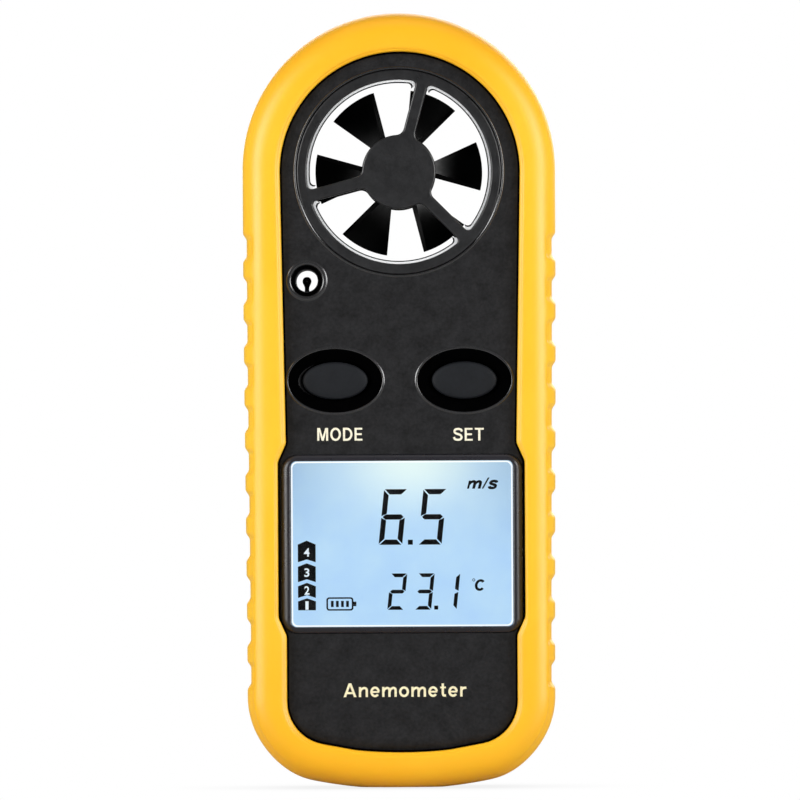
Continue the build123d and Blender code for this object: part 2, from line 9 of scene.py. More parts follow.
import bmesh
import bpy
import numpy as np
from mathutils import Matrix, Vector


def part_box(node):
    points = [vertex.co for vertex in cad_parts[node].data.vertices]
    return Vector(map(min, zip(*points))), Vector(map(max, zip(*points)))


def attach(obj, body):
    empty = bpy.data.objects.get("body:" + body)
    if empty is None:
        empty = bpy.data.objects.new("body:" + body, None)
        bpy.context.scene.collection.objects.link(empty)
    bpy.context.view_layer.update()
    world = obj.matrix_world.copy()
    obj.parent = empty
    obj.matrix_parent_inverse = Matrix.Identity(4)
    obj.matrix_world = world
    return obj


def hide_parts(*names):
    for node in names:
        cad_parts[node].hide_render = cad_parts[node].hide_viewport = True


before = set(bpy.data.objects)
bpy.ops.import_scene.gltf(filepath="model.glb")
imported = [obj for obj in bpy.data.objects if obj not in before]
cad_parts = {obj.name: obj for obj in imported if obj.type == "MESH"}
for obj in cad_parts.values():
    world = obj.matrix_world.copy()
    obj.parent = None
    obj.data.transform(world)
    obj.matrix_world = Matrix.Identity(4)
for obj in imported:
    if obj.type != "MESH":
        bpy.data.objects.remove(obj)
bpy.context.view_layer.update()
scene = bpy.context.scene
MM = 0.001


def node_box(node):
    """A CAD node's lowest and highest corners, in millimetres."""
    low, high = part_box(node)
    return low / MM, high / MM


# ---------------- places, from the frame

boot_low, boot_high = node_box("protective_boot")
case_low, case_high = node_box("front_case")
guard_low, guard_high = node_box("fan_guard_front")
glass_low = node_box("lcd_glass")[0]
lens_low, lens_high = node_box("lcd_window")
mode_low, mode_high = node_box("mode_button")
set_low, set_high = node_box("set_button")

fan_z = (guard_low.z + guard_high.z) / 2
case_front = case_low.y
mode_x = (mode_low.x + mode_high.x) / 2
set_x = (set_low.x + set_high.x) / 2
key_z = (mode_low.z + mode_high.z) / 2
lens_x = (lens_low.x + lens_high.x) / 2
lens_z = (lens_low.z + lens_high.z) / 2
lens_width = lens_high.x - lens_low.x
lens_height = lens_high.z - lens_low.z

# ---------------- mesh helpers


def close_up(mesh, merge=True):
    """Makes a mesh's normals point outwards, and joins points that lie together."""
    work = bmesh.new()
    work.from_mesh(mesh)
    if merge:
        bmesh.ops.remove_doubles(work, verts=work.verts, dist=1e-7)
    bmesh.ops.recalc_face_normals(work, faces=work.faces)
    work.to_mesh(mesh)
    work.free()


def add_object(name, mesh):
    piece = bpy.data.objects.new(name, mesh)
    scene.collection.objects.link(piece)
    return piece


def finish_mesh(name, vertices, faces, smooth=True, merge=True):
    """A mesh object from points in millimetres."""
    mesh = bpy.data.meshes.new(name)
    mesh.from_pydata([tuple(c * MM for c in v) for v in vertices], [], faces)
    close_up(mesh, merge)
    for polygon in mesh.polygons:
        polygon.use_smooth = smooth
    mesh.update()
    return add_object(name, mesh)


def add_skin(vertices, faces, loops, ring=True, cycle=True):
    """Adds loops of points and the quads between them; cycle joins the last loop to the first.

    Rings that don't cycle are capped at both ends.
    """
    first, count = len(vertices), len(loops[0])
    for loop in loops:
        vertices.extend(loop)
    for k in range(len(loops) if cycle else len(loops) - 1):
        a, b = first + k * count, first + (k + 1) % len(loops) * count
        for i in range(count if ring else count - 1):
            j = (i + 1) % count
            faces.append([a + i, a + j, b + j, b + i])
    if not cycle:
        faces.append(list(range(first, first + count)))
        faces.append(list(range(len(vertices) - count, len(vertices)))[::-1])
    return first


def add_strip(vertices, faces, left, right, depth, closed=False):
    """Adds a strip between two lines of points, depth thick, with ends unless it is closed."""
    behind = [[(x, y + depth, z) for x, y, z in line] for line in (right, left)]
    first = add_skin(vertices, faces, [left, right] + behind, ring=closed)
    if not closed:
        for i in (0, len(left) - 1):
            faces.append([first + k * len(left) + i for k in range(4)])


def at_depth(line, y):
    return [(x, y, z) for x, z in line]


def slab(name, outlines, front, thickness):
    """Flat closed plates: each outline is a loop of (x, z), and the plate reaches back from its front."""
    vertices, faces = [], []
    for outline in outlines:
        loops = [at_depth(outline, front), at_depth(outline, front + thickness)]
        add_skin(vertices, faces, loops, cycle=False)
    return finish_mesh(name, vertices, faces, smooth=False)


def oval_line(x, z, half_width, half_height, start, end, count=24):
    """Points along part of an oval, in degrees."""
    turns = [math.radians(start + (end - start) * i / count) for i in range(count + 1)]
    return [(x + half_width * math.cos(t), z + half_height * math.sin(t)) for t in turns]


def arc_points(centre, radius, start, end, count):
    return oval_line(*centre, radius, radius, start, end, count)


def rounded_corners(corners, radii, count=8):
    """A closed outline through the corners, each rounded to its radius."""
    outline = []
    for i, radius in enumerate(radii):
        here = Vector(corners[i])
        if radius <= 0:
            outline.append(tuple(here))
            continue
        before = (Vector(corners[i - 1]) - here).normalized()
        after = (Vector(corners[(i + 1) % len(corners)]) - here).normalized()
        half = before.angle(after) / 2
        reach = radius / math.tan(half)
        centre = here + (before + after).normalized() * (radius / math.sin(half))
        start = here + before * reach - centre
        turn = start.angle_signed(here + after * reach - centre)
        for step in range(count + 1):
            angle = -turn * step / count
            across, up = math.cos(angle), math.sin(angle)
            turned_x, turned_y = start.x * across - start.y * up, start.x * up + start.y * across
            outline.append((centre.x + turned_x, centre.y + turned_y))
    return outline


def rounded_box_outline(x, z, width, height, radius, count=8):
    """A rounded rectangle centred on (x, z)."""
    w, h = width / 2, height / 2
    corners = [(x - w, z - h), (x + w, z - h), (x + w, z + h), (x - w, z + h)]
    return rounded_corners(corners, [radius] * 4, count)


def band(name, strips, front, thickness, closed=False):
    """Flat closed strips: each is a pair of lines of (x, z) with the same number of points."""
    vertices, faces = [], []
    for left, right in strips:
        add_strip(vertices, faces, at_depth(left, front), at_depth(right, front), thickness, closed)
    return finish_mesh(name, vertices, faces, smooth=False)


def frame_ring(name, inner, outer, front, thickness):
    """A flat closed frame between two outlines with the same number of points."""
    return band(name, [(inner, outer)], front, thickness, closed=True)


def outline_normals(outline):
    """Unit normals that point out of a closed outline."""
    points = np.array(outline)
    ahead = np.roll(points, -1, axis=0) - np.roll(points, 1, axis=0)
    normals = np.stack([ahead[:, 1], -ahead[:, 0]], axis=1)
    normals /= np.linalg.norm(normals, axis=1)[:, None]
    x, z = points.T
    turn = np.sum(x * np.roll(z, -1) - np.roll(x, -1) * z)
    return normals if turn > 0 else -normals


def flatten_caps(piece, limit=0.9999):
    """Keeps the flat front and back of a plate flat-shaded and everything else smooth."""
    for polygon in piece.data.polygons:
        polygon.use_smooth = abs(polygon.normal.y) < limit
    piece.data.set_sharp_from_angle(angle=math.radians(50))


def bevelled_plate(name, outside, openings, front, back, bevel, steps=4):
    """A flat closed plate with holes, its edges rounded at the front and at the back."""
    work = bmesh.new()
    first_edges, last_edges = [], []
    for k, outline in enumerate([outside] + openings):
        normals = outline_normals(outline) * (1 if k == 0 else -1)
        points = np.array(outline)
        toward = 1 if back > front else -1
        near = [
            (bevel * (1 - math.sin(t)), front + toward * bevel * (1 - math.cos(t)))
            for t in (math.pi / 2 * i / steps for i in range(steps + 1))
        ]
        far = [(inset, front + back - y) for inset, y in reversed(near)]
        loops = []
        for inset, y in near + far:
            ring = points - normals * inset
            loops.append([work.verts.new((x * MM, y * MM, z * MM)) for x, z in ring])
        count = len(outline)
        for a, b in zip(loops, loops[1:]):
            for i in range(count):
                j = (i + 1) % count
                work.faces.new((a[i], a[j], b[j], b[i]))
        for loop, edges in ((loops[0], first_edges), (loops[-1], last_edges)):
            edges += [work.edges.get((loop[i], loop[(i + 1) % count])) for i in range(count)]
    for edges in (first_edges, last_edges):
        bmesh.ops.triangle_fill(work, use_beauty=True, use_dissolve=False, edges=edges)
    bmesh.ops.recalc_face_normals(work, faces=work.faces)
    mesh = bpy.data.meshes.new(name)
    work.to_mesh(mesh)
    work.free()
    piece = add_object(name, mesh)
    flatten_caps(piece)
    return piece


def oval_sweep(name, profile, x, z, count=96, closed=True):
    """Rings swept round (x, z): each profile step is (half width, half height, y)."""
    turns = [2 * math.pi * i / count for i in range(count)]
    rings = [[(x + w * math.cos(t), y, z + h * math.sin(t)) for t in turns] for w, h, y in profile]
    vertices, faces = [], []
    add_skin(vertices, faces, rings, cycle=closed)
    piece = finish_mesh(name, vertices, faces)
    piece.data.set_sharp_from_angle(angle=math.radians(50))
    return piece


def turned(steps):
    """A round profile from its (radius, y) steps."""
    return [(radius, radius, y) for radius, y in steps]


def lip_profile(half_width, half_height, face, toward, height=0.1, spread=0.3):
    """A low moulded lip round an oval: steep inside, sloping away outside."""
    crown, brow, slope = 0.12, 0.95, 5
    steps = [(-0.05, -0.3), (-0.05, 0.4), (0.0, 0.85), (0.06, 1.0), (crown, brow)]
    for i in range(1, slope):
        fall = math.cos(math.pi / 2 * i / slope) ** 1.2
        steps.append((crown + (spread - crown) * i / slope, brow * fall))
    steps += [(spread, -0.05), (spread, -0.3)]
    return [(half_width + d, half_height + d, face - toward * height * rise) for d, rise in steps]


def ribbon(points, width, closed=False):
    """The two edges of a stroke that follows a line of points."""
    line = np.array(points, float)
    if closed:
        ahead = np.roll(line, -1, axis=0) - line
        behind = line - np.roll(line, 1, axis=0)
    else:
        step = line[1:] - line[:-1]
        ahead = np.vstack([step, step[-1:]])
        behind = np.vstack([step[:1], step])
    ahead /= np.linalg.norm(ahead, axis=1)[:, None]
    behind /= np.linalg.norm(behind, axis=1)[:, None]
    across = ahead + behind
    across /= np.linalg.norm(across, axis=1)[:, None]
    reach = width / 2 / np.maximum(0.4, np.sum(across * ahead, axis=1))
    side = np.stack([-across[:, 1], across[:, 0]], axis=1) * reach[:, None]
    return line + side, line - side


def smooth_line(points, steps=5):
    """A smooth line through the points."""
    line = [np.array(p, float) for p in points]
    line = [2 * line[0] - line[1]] + line + [2 * line[-1] - line[-2]]
    out = []
    for a, b, c, d in zip(line, line[1:], line[2:], line[3:]):
        for t in (i / steps for i in range(steps)):
            square = (2 * a - 5 * b + 4 * c - d) * t * t
            cube = (3 * b - a - 3 * c + d) * t**3
            out.append(tuple(0.5 * (2 * b + (c - a) * t + square + cube)))
    out.append(tuple(line[-2]))
    return out


def smooth_step(value, low, high):
    """0 below low, 1 above high and a soft ramp between."""
    t = min(1.0, max(0.0, (value - low) / (high - low)))
    return t * t * (3 - 2 * t)


# ---------------- materials


def feed(tree, node, inputs):
    """Sets a node's inputs: each is a plain value or the socket that feeds it."""
    for name, value in inputs.items():
        if isinstance(value, bpy.types.NodeSocket):
            tree.links.new(value, node.inputs[name])
        else:
            node.inputs[name].default_value = value


def add_node(tree, kind, inputs, **settings):
    node = tree.nodes.new(kind)
    for name, value in settings.items():
        setattr(node, name, value)
    feed(tree, node, inputs)
    return node


def new_material(name):
    material = bpy.data.materials.new(name)
    material.use_nodes = True
    tree = material.node_tree
    tree.nodes.clear()
    shader = tree.nodes.new("ShaderNodeBsdfPrincipled")
    add_node(tree, "ShaderNodeOutputMaterial", {"Surface": shader.outputs["BSDF"]})
    return material, tree, shader


def object_coordinates(tree):
    return tree.nodes.new("ShaderNodeTexCoord").outputs["Object"]


def noise_field(tree, scale, detail=4.0, roughness=0.55):
    inputs = {"Scale": scale, "Detail": detail, "Roughness": roughness, "Vector": object_coordinates(tree)}
    return add_node(tree, "ShaderNodeTexNoise", inputs).outputs["Fac"]


def ramp(tree, source, stops):
    """A colour ramp: stops are (position, colour)."""
    node = tree.nodes.new("ShaderNodeValToRGB")
    elements = node.color_ramp.elements
    while len(elements) < len(stops):
        elements.new(0.5)
    for element, (position, colour) in zip(elements, stops):
        element.position = position
        element.color = (*colour, 1.0)
    tree.links.new(source, node.inputs["Fac"])
    return node.outputs["Color"]


def map_range(tree, source, from_low, from_high, to_low, to_high):
    inputs = {"Value": source, "From Min": from_low, "From Max": from_high, "To Min": to_low, "To Max": to_high}
    return add_node(tree, "ShaderNodeMapRange", inputs).outputs["Result"]


def maths(tree, operation, a, b):
    return add_node(tree, "ShaderNodeMath", {0: a, 1: b}, operation=operation).outputs["Value"]


def bump(tree, height, strength, distance):
    inputs = {"Strength": strength, "Distance": distance, "Height": height}
    return add_node(tree, "ShaderNodeBump", inputs).outputs["Normal"]


def mix_colours(tree, factor, first, second, blend="MIX"):
    inputs = {"Factor": factor, 6: first, 7: second}
    return add_node(tree, "ShaderNodeMix", inputs, data_type="RGBA", blend_type=blend).outputs[2]


def mottled(tree, coarse, fine, share):
    """A coarse and a fine field added together; share is the coarse one's part."""
    return maths(tree, "ADD", maths(tree, "MULTIPLY", coarse, share), maths(tree, "MULTIPLY", fine, 1 - share))


def shade(colour, factor):
    return tuple(min(1.0, c * factor) for c in colour)


def moulded(name, colour, roughness, grain, depth, spread=0.12, specular=0.5):
    """Moulded plastic: a fine sparked grain, with slightly uneven colour and gloss."""
    material, tree, shader = new_material(name)
    coarse = noise_field(tree, grain * 0.22, 3.0)
    fine = noise_field(tree, grain, 2.0, 0.7)
    mixed = mottled(tree, coarse, fine, 0.45)
    feed(tree, shader, {
        "Base Color": ramp(tree, mixed, [(0.3, shade(colour, 1 - spread)), (0.7, shade(colour, 1 + spread))]),
        "Roughness": map_range(tree, coarse, 0.3, 0.7, roughness - 0.05, roughness + 0.05),
        "Specular IOR Level": specular,
        "Normal": bump(tree, fine, 0.5, depth),
    })
    return material


def metal(name, colour, roughness, grain):
    """Bare or plated metal with fine brushed variation."""
    material, tree, shader = new_material(name)
    field = noise_field(tree, grain, 3.0)
    feed(tree, shader, {
        "Base Color": ramp(tree, field, [(0.3, shade(colour, 0.85)), (0.7, colour)]),
        "Roughness": map_range(tree, field, 0.3, 0.7, roughness - 0.06, roughness + 0.06),
        "Metallic": 1.0,
        "Normal": bump(tree, field, 0.3, 0.00001),
    })
    return material


def lit(name, colour, strength):
    """A self-lit colour with a slight unevenness."""
    material, tree, shader = new_material(name)
    field = noise_field(tree, 900.0)
    feed(tree, shader, {
        "Base Color": (0.02, 0.02, 0.02, 1.0),
        "Emission Color": ramp(tree, field, [(0.3, shade(colour, 0.97)), (0.7, colour)]),
        "Emission Strength": strength,
        "Roughness": 0.5,
    })
    return material


def separate(tree, vector):
    return add_node(tree, "ShaderNodeSeparateXYZ", {"Vector": vector}).outputs


def boot_material():
    """Soft-touch elastomer: warm yellow, very finely mottled, with a satin sheen, and painted shade that turns
    it deeper orange towards the top and the bottom.
    """
    material, tree, shader = new_material("boot_rubber_look")
    broad = noise_field(tree, 60.0, 2.0)
    fine = noise_field(tree, 5200.0, 3.0, 0.6)
    mixed = mottled(tree, broad, fine, 0.75)
    tone = ramp(tree, mixed, [(0.3, (1.0, 0.535, 0.016)), (0.7, (1.0, 0.575, 0.026))])
    height = map_range(tree, separate(tree, object_coordinates(tree))["Z"], 0.0, boot_high.z * MM, 0.0, 1.0)
    # Painted shade: the colour is multiplied deeper orange towards both ends of the boot, where less light
    # falls
    ends, near_ends, middle = (1.0, 0.85, 0.35), (1.0, 0.93, 0.6), (1.0, 1.0, 1.0)
    stops = [(0.0, ends), (0.1, near_ends), (0.22, middle), (0.78, middle), (0.9, near_ends), (0.97, ends)]
    feed(tree, shader, {
        "Base Color": mix_colours(tree, 1.0, tone, ramp(tree, height, stops), "MULTIPLY"),
        "Roughness": map_range(tree, broad, 0.3, 0.7, 0.36, 0.44),
        "Specular IOR Level": 0.5,
        "Subsurface Weight": 0.12,
        "Subsurface Radius": (0.002, 0.0009, 0.0002),
        "Subsurface Scale": 0.5,
        "Normal": bump(tree, fine, 0.25, 0.00002),
    })
    return material


def display_material():
    """The lit display: pale blue, with a warmer glow that spreads from the top."""
    material, tree, shader = new_material("lcd_lit_look")
    axes = separate(tree, object_coordinates(tree))

    def distance(axis, centre, reach):
        """How far along an axis a point is from the centre, in reaches."""
        return maths(tree, "DIVIDE", maths(tree, "SUBTRACT", axes[axis], centre * MM), reach * MM)

    def square(value):
        return maths(tree, "MULTIPLY", value, value)

    across, down = distance("X", lens_x + 1.3, 9.5), distance("Z", lens_high.z + 0.3, 6.5)
    away = maths(tree, "ADD", square(across), square(down))
    glow = maths(tree, "POWER", 2.718, maths(tree, "MULTIPLY", away, -1.0))
    mottle = noise_field(tree, 160.0, 3.0)
    base = ramp(
        tree, mottle, [(0.25, (0.42, 0.652, 0.94)), (0.5, (0.455, 0.69, 0.94)), (0.75, (0.50, 0.73, 0.94))]
    )
    light = mix_colours(tree, glow, base, (0.80, 0.955, 0.93, 1.0))
    # Both top corners are a little dimmer
    side = square(distance("X", lens_x, lens_width / 2))
    rise = map_range(tree, axes["Z"], (lens_z - 2) * MM, lens_high.z * MM, 0.0, 1.0)
    dim = maths(tree, "SUBTRACT", 1.0, maths(tree, "MULTIPLY", maths(tree, "MULTIPLY", side, rise), 0.22))
    dimmer = add_node(tree, "ShaderNodeVectorMath", {0: light, "Scale": dim}, operation="SCALE")
    feed(tree, shader, {
        "Emission Color": dimmer.outputs["Vector"],
        "Base Color": (0.02, 0.03, 0.04, 1.0),
        "Emission Strength": 1.0,
        "Roughness": 0.35,
    })
    return material


def clear_material():
    """Polished clear acrylic with faint unevenness in its gloss."""
    material, tree, shader = new_material("window_acrylic_look")
    feed(tree, shader, {
        "Roughness": map_range(tree, noise_field(tree, 500.0, 2.0), 0.3, 0.7, 0.0, 0.03),
        "Base Color": (0.985, 0.995, 1.0, 1.0),
        "Transmission Weight": 1.0,
        "IOR": 1.3,
    })
    return material


def ink_material(name, colour):
    """Pad-printed ink, slightly patchy."""
    material, tree, shader = new_material(name)
    tone = ramp(tree, noise_field(tree, 2600.0, 3.0), [(0.3, shade(colour, 0.82)), (0.62, colour)])
    feed(tree, shader, {"Base Color": tone, "Roughness": 0.5})
    return material


LOOKS = {
    "boot": boot_material(),
    "case": moulded("case_plastic_look", (0.0108, 0.0108, 0.0118), 0.5, 2000.0, 0.0001, 0.65, 0.25),
    "guard": moulded("guard_plastic_look", (0.0142, 0.0144, 0.0155), 0.32, 2000.0, 0.00004, 0.4, 0.5),
    "impeller": moulded("impeller_plastic_look", (0.0012, 0.0012, 0.0013), 0.5, 1800.0, 0.00001, 0.3, 0.12),
    "bezel": moulded("bezel_plastic_look", (0.015, 0.0142, 0.019), 0.3, 2600.0, 0.00001, 0.12, 0.55),
    "key": moulded("key_rubber_look", (0.0085, 0.0098, 0.0122), 0.6, 2400.0, 0.00002, 0.2, 0.22),
    "door": moulded("door_plastic_look", (0.0105, 0.0105, 0.0115), 0.48, 2000.0, 0.0001, 0.6, 0.26),
    # Near-black that paints shade: the key bowls, the shadow line inside the boot's window and the sensor's
    # collar
    "shade_black": moulded("painted_shade_black_look", (0.0007, 0.0007, 0.0008), 0.65, 2000.0, 0.000005, 0.3, 0.0),
    # A pale finish that paints the glint of the duct's edge
    "painted_glint": moulded("painted_glint_look", (0.84, 0.85, 0.86), 0.2, 1500.0, 0.000002, 0.03, 0.7),
    "bead_line": moulded("polished_rim_look", (0.012, 0.012, 0.013), 0.24, 1500.0, 0.000002, 0.2, 1.0),
    "display": display_material(),
    "clear": clear_material(),
    "glass_edge": moulded("lcd_glass_look", (0.08, 0.1, 0.11), 0.15, 900.0, 0.000002, 0.05, 0.5),
    "edge_glow": lit("edge_glow_look", (0.93, 0.98, 1.0), 1.05),
    "segment": moulded("lcd_segment_look", (0.004, 0.004, 0.005), 0.6, 1500.0, 0.000002, 0.3, 0.1),
    "segment_pale": lit("lcd_knockout_look", (0.80, 0.90, 0.97), 1.0),
    "legend": ink_material("legend_ink_look", (0.96, 0.90, 0.70)),
    "title": ink_material("title_ink_look", (0.95, 0.86, 0.56)),
    "bead": moulded("sensor_bead_look", (0.006, 0.006, 0.006), 0.25, 900.0, 0.000004, 0.2, 0.5),
    "steel": metal("steel_look", (0.62, 0.62, 0.64), 0.28, 1200.0),
    "black_steel": metal("black_steel_look", (0.09, 0.09, 0.095), 0.38, 1500.0),
    "brass": metal("brass_look", (0.78, 0.55, 0.24), 0.3, 1200.0),
    "magnet": moulded("magnet_look", (0.03, 0.03, 0.03), 0.5, 1500.0, 0.00001),
    "plain": moulded("holder_plastic_look", (0.6, 0.6, 0.58), 0.5, 1500.0, 0.00001, 0.05),
    "board": moulded("board_laminate_look", (0.02, 0.13, 0.05), 0.3, 700.0, 0.00001, 0.2),
    "chip": moulded("chip_epoxy_look", (0.01, 0.01, 0.01), 0.5, 2200.0, 0.00001),
    "ceramic": moulded("ceramic_look", (0.35, 0.22, 0.12), 0.45, 2000.0, 0.00001),
    "elastomer": moulded("elastomer_look", (0.5, 0.46, 0.42), 0.6, 1500.0, 0.00001),
    "guide": moulded("light_guide_look", (0.75, 0.85, 0.92), 0.3, 900.0, 0.000005, 0.03),
    "lead": moulded("lead_sleeve_look", (0.006, 0.006, 0.006), 0.5, 1500.0, 0.00001),
}

LOOK_NODES = {
    "case": ("front_case", "rear_case"),
    "guard": ("fan_guard_front", "fan_guard_rear", "fan_duct"),
    "impeller": ("impeller",),
    "steel": (
        "impeller_shaft", "crystal", "coin_cell", "battery_contact_plus", "battery_contact_minus",
        "board_screws",
    ),
    "black_steel": ("case_screws",),
    "brass": ("bearing_front", "bearing_rear"),
    "magnet": ("impeller_magnet",),
    "chip": ("hall_sensor", "mode_switch_stem", "set_switch_stem", "switch_housings", "controller_chip"),
    "lead": ("hall_leads",),
    "bead": ("thermistor",),
    "key": ("mode_button", "set_button"),
    "bezel": ("lcd_bezel",),
    "clear": ("lcd_window",),
    "glass_edge": ("lcd_glass",),
    "guide": ("backlight",),
    "plain": ("backlight_led", "lcd_holder"),
    "elastomer": ("zebra_strips",),
    "board": ("main_board",),
    "ceramic": ("capacitors",),
    "door": ("battery_door",),
    "boot": ("protective_boot",),
}


def dress(piece, look):
    """Gives a piece one of the looks."""
    piece.data.materials.clear()
    piece.data.materials.append(LOOKS[look])


for look, nodes in LOOK_NODES.items():
    for node in nodes:
        dress(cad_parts[node], look)


def place(piece, body, look):
    """Dresses a new piece and puts it on its body."""
    dress(piece, look)
    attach(piece, body)
    return piece


# ---------------- boot

BOOT_HALF = boot_high.x
BOOT_FACE = boot_high.y
BASE_ARC = 65.0
FOOT_TRIM = 0.28
WAIST_TAPER = 0.35
BOOT_CORNER = 12.5
NOTCHES = 11
NOTCH_TOP = 78.7
NOTCH_PITCH = 6.23
NOTCH_DEPTH = 0.54
ROUND_IN = 4.3
ROUND_BACK = 4.9
LIP_ROUND = 0.42
CASE_ROUND = 3.05
WINDOW_SHIFT = 0.13


def base_rise(x):
    """How far the arc of the base has risen at x."""
    return BASE_ARC - math.sqrt(BASE_ARC**2 - x**2)


def boot_path():
    """Stations round the boot: point and outward direction in the plane of the face."""
    shoulder = boot_high.z - BOOT_HALF
    base = -FOOT_TRIM + BASE_ARC
    corner_x = BOOT_HALF - BOOT_CORNER
    corner_z = base - math.sqrt((BASE_ARC - BOOT_CORNER) ** 2 - corner_x**2)
    lean = math.degrees(math.atan2(corner_x, base - corner_z))
    run = int((shoulder - corner_z) / 0.24)
    stations = []

    def add_arc(centre, radius, start, end, count):
        for x, z in arc_points(centre, radius, start, end, count):
            stations.append((x, z, (x - centre[0]) / radius, (z - centre[1]) / radius))

    def add_side(sign, low, high):
        for i in range(1, run):
            stations.append((sign * BOOT_HALF, low + (high - low) * i / run, sign, 0.0))

    add_arc((0, shoulder), BOOT_HALF, 180, 0, 150)
    add_side(1.0, shoulder, corner_z)
    add_arc((corner_x, corner_z), BOOT_CORNER, 0, -90 + lean, 40)
    for i in range(1, 60):
        angle = math.radians(lean * (1 - 2 * i / 60))
        out_x, out_z = math.sin(angle), -math.cos(angle)
        stations.append((BASE_ARC * out_x, base + BASE_ARC * out_z, out_x, out_z))
    add_arc((-corner_x, corner_z), BOOT_CORNER, -90 - lean, -180, 40)
    add_side(-1.0, corner_z, shoulder)
    return stations


def add_base(corners, radii, half, low, corner):
    """Adds the bottom of an outline, from right to left along the arc of the base."""
    corners.append((half, low + base_rise(half)))
    radii.append(corner)
    for i in range(1, 20):
        x = half * 0.45 * (1 - 2 * i / 20)
        corners.append((x, low + base_rise(x)))
        radii.append(0)
    corners.append((-half, low + base_rise(half)))
    radii.append(corner)


def front_window_outline():
    """The window in the front of the boot, wider beside the display; the boot sits a little off centre."""
    top, waist, bulge, low = 17.5, 16.8, 18.0, 5.12
    step_top, step_low, step, step_round = 47.5, 24.8, 2.65, 1.6
    corners = arc_points((0, fan_z), top, 180, 0, 90)
    right = [(waist, step_top + step), (bulge, step_top), (bulge, step_low), (waist, step_low - step)]
    radii = [0] * len(corners) + [step_round] * len(right)
    corners += right
    add_base(corners, radii, waist, low, 6.3)
    corners += [(-x, z) for x, z in reversed(right)]
    radii += [step_round] * len(right)
    return [(x + WINDOW_SHIFT, z) for x, z in rounded_corners(corners, radii, 10)]


def arched_outline(half, top, bottom, corner):
    """A round-topped outline on a shallow arc."""
    corners = arc_points((0, top - half), half, 180, 0, 90)
    radii = [0] * len(corners)
    add_base(corners, radii, half, bottom, corner)
    return rounded_corners(corners, radii, 12)


def reach_inwards(stations, outline):
    """How far in from each station the outline lies, along the station's own direction."""
    start = np.array(outline, float)
    span = np.roll(start, -1, axis=0) - start
    found = []
    for x, z, out_x, out_z in stations:
        way = np.array([-out_x, -out_z])
        offset = start - np.array([x, z])
        cross = way[0] * span[:, 1] - way[1] * span[:, 0]
        cross = np.where(np.abs(cross) < 1e-12, 1e-12, cross)
        along = (offset[:, 0] * span[:, 1] - offset[:, 1] * span[:, 0]) / cross
        part = (offset[:, 0] * way[1] - offset[:, 1] * way[0]) / cross
        hits = along[(part >= -1e-6) & (part <= 1 + 1e-6) & (along > 0)]
        found.append(float(hits.min()))
    return found


def notch_depth_at(z):
    """How deep the grip is cut at a height: soft-edged notches at an even pitch."""
    deepest = 0.0
    for k in range(NOTCHES):
        away = abs(z - (NOTCH_TOP - k * NOTCH_PITCH))
        deepest = max(deepest, 1 - smooth_step(away, 1.05, 2.2))
    return NOTCH_DEPTH * deepest


def boot_section(window, inner, notch, face_sign):
    """One half of the boot's section as (distance in, y), from the middle of the side to the case's side."""
    points = [(notch, level) for level in (0.0, 2.0, 4.0)]
    steps, power = 18, 2 / 2.35
    for i in range(steps + 1):
        angle = math.pi / 2 * i / steps
        inwards = ROUND_IN * (1 - math.cos(angle) ** power if i < steps else 1)
        out = BOOT_FACE - ROUND_BACK + ROUND_BACK * math.sin(angle) ** power
        cut = notch * (1 - smooth_step(inwards, 0.7, 1.45))
        points.append((inwards + cut, out - 0.25 * cut * math.sin(angle)))
    crown = max(0.2, window - LIP_ROUND - ROUND_IN)
    drop = 0.16 + 0.1 * crown
    for angle in (math.pi / 2 * i / 6 for i in range(1, 7)):
        points.append((ROUND_IN + crown * math.sin(angle), BOOT_FACE - drop * (1 - math.cos(angle))))
    for angle in (math.pi / 2 * i / 5 for i in range(1, 6)):
        lip_in, lip_out = window - LIP_ROUND * (1 - math.sin(angle)), LIP_ROUND * (1 - math.cos(angle))
        points.append((lip_in, BOOT_FACE - drop - lip_out))
    skin = -case_front + 0.03
    points.append((window, skin + 0.35))
    centre_in, centre_out = inner + CASE_ROUND, skin - CASE_ROUND
    start = 0.0
    if window < centre_in:
        start = math.asin(min(1.0, (centre_in - max(window, inner)) / CASE_ROUND))
    for i in range(6):
        angle = start + (math.pi / 2 - start) * i / 5
        points.append((centre_in - CASE_ROUND * math.sin(angle), centre_out + CASE_ROUND * math.cos(angle)))
    points.append((inner, centre_out * 0.5))
    return [(inwards, face_sign * out) for inwards, out in points]


def make_boot():
    stations = boot_path()
    front = reach_inwards(stations, front_window_outline())
    back = reach_inwards(stations, arched_outline(16.8, fan_z + 16.8, 5.35, 6.0))
    half = (case_high.x - case_low.x) / 2
    inner = reach_inwards(stations, arched_outline(half, case_high.z, case_low.z, 9.5))
    rings = []
    for (x, z, out_x, out_z), window, rear, wall in zip(stations, front, back, inner):
        taper = WAIST_TAPER * smooth_step(80 - z, 0, 70) * smooth_step(abs(out_x), 0.3, 0.9)
        cut = notch_depth_at(z) * abs(out_x) + taper
        loop = boot_section(window, wall - 0.03, cut, -1) + boot_section(rear, wall - 0.03, cut, 1)[:0:-1]
        rings.append([(x - out_x * inwards, y, max(0.0, z - out_z * inwards)) for inwards, y in loop])
    vertices, faces = [], []
    add_skin(vertices, faces, rings)
    boot = finish_mesh("soft_boot", vertices, faces)
    place(boot, "case", "boot")
    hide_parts("protective_boot")


make_boot()


def make_edge_shadow_line():
    """A near-black ribbon on the case just inside the window, under the edge of the boot's lip: a painted
    shadow line where the lip meets the case.
    """
    edge = front_window_outline()
    points, normals = np.array(edge), outline_normals(edge)
    inner, outer = points - normals * SHADOW_SHOWN, points + normals * SHADOW_COVERED
    groove = frame_ring("case_edge_painted_shadow", inner, outer, case_front - 0.012, 0.2)
    place(groove, "case", "shade_black")


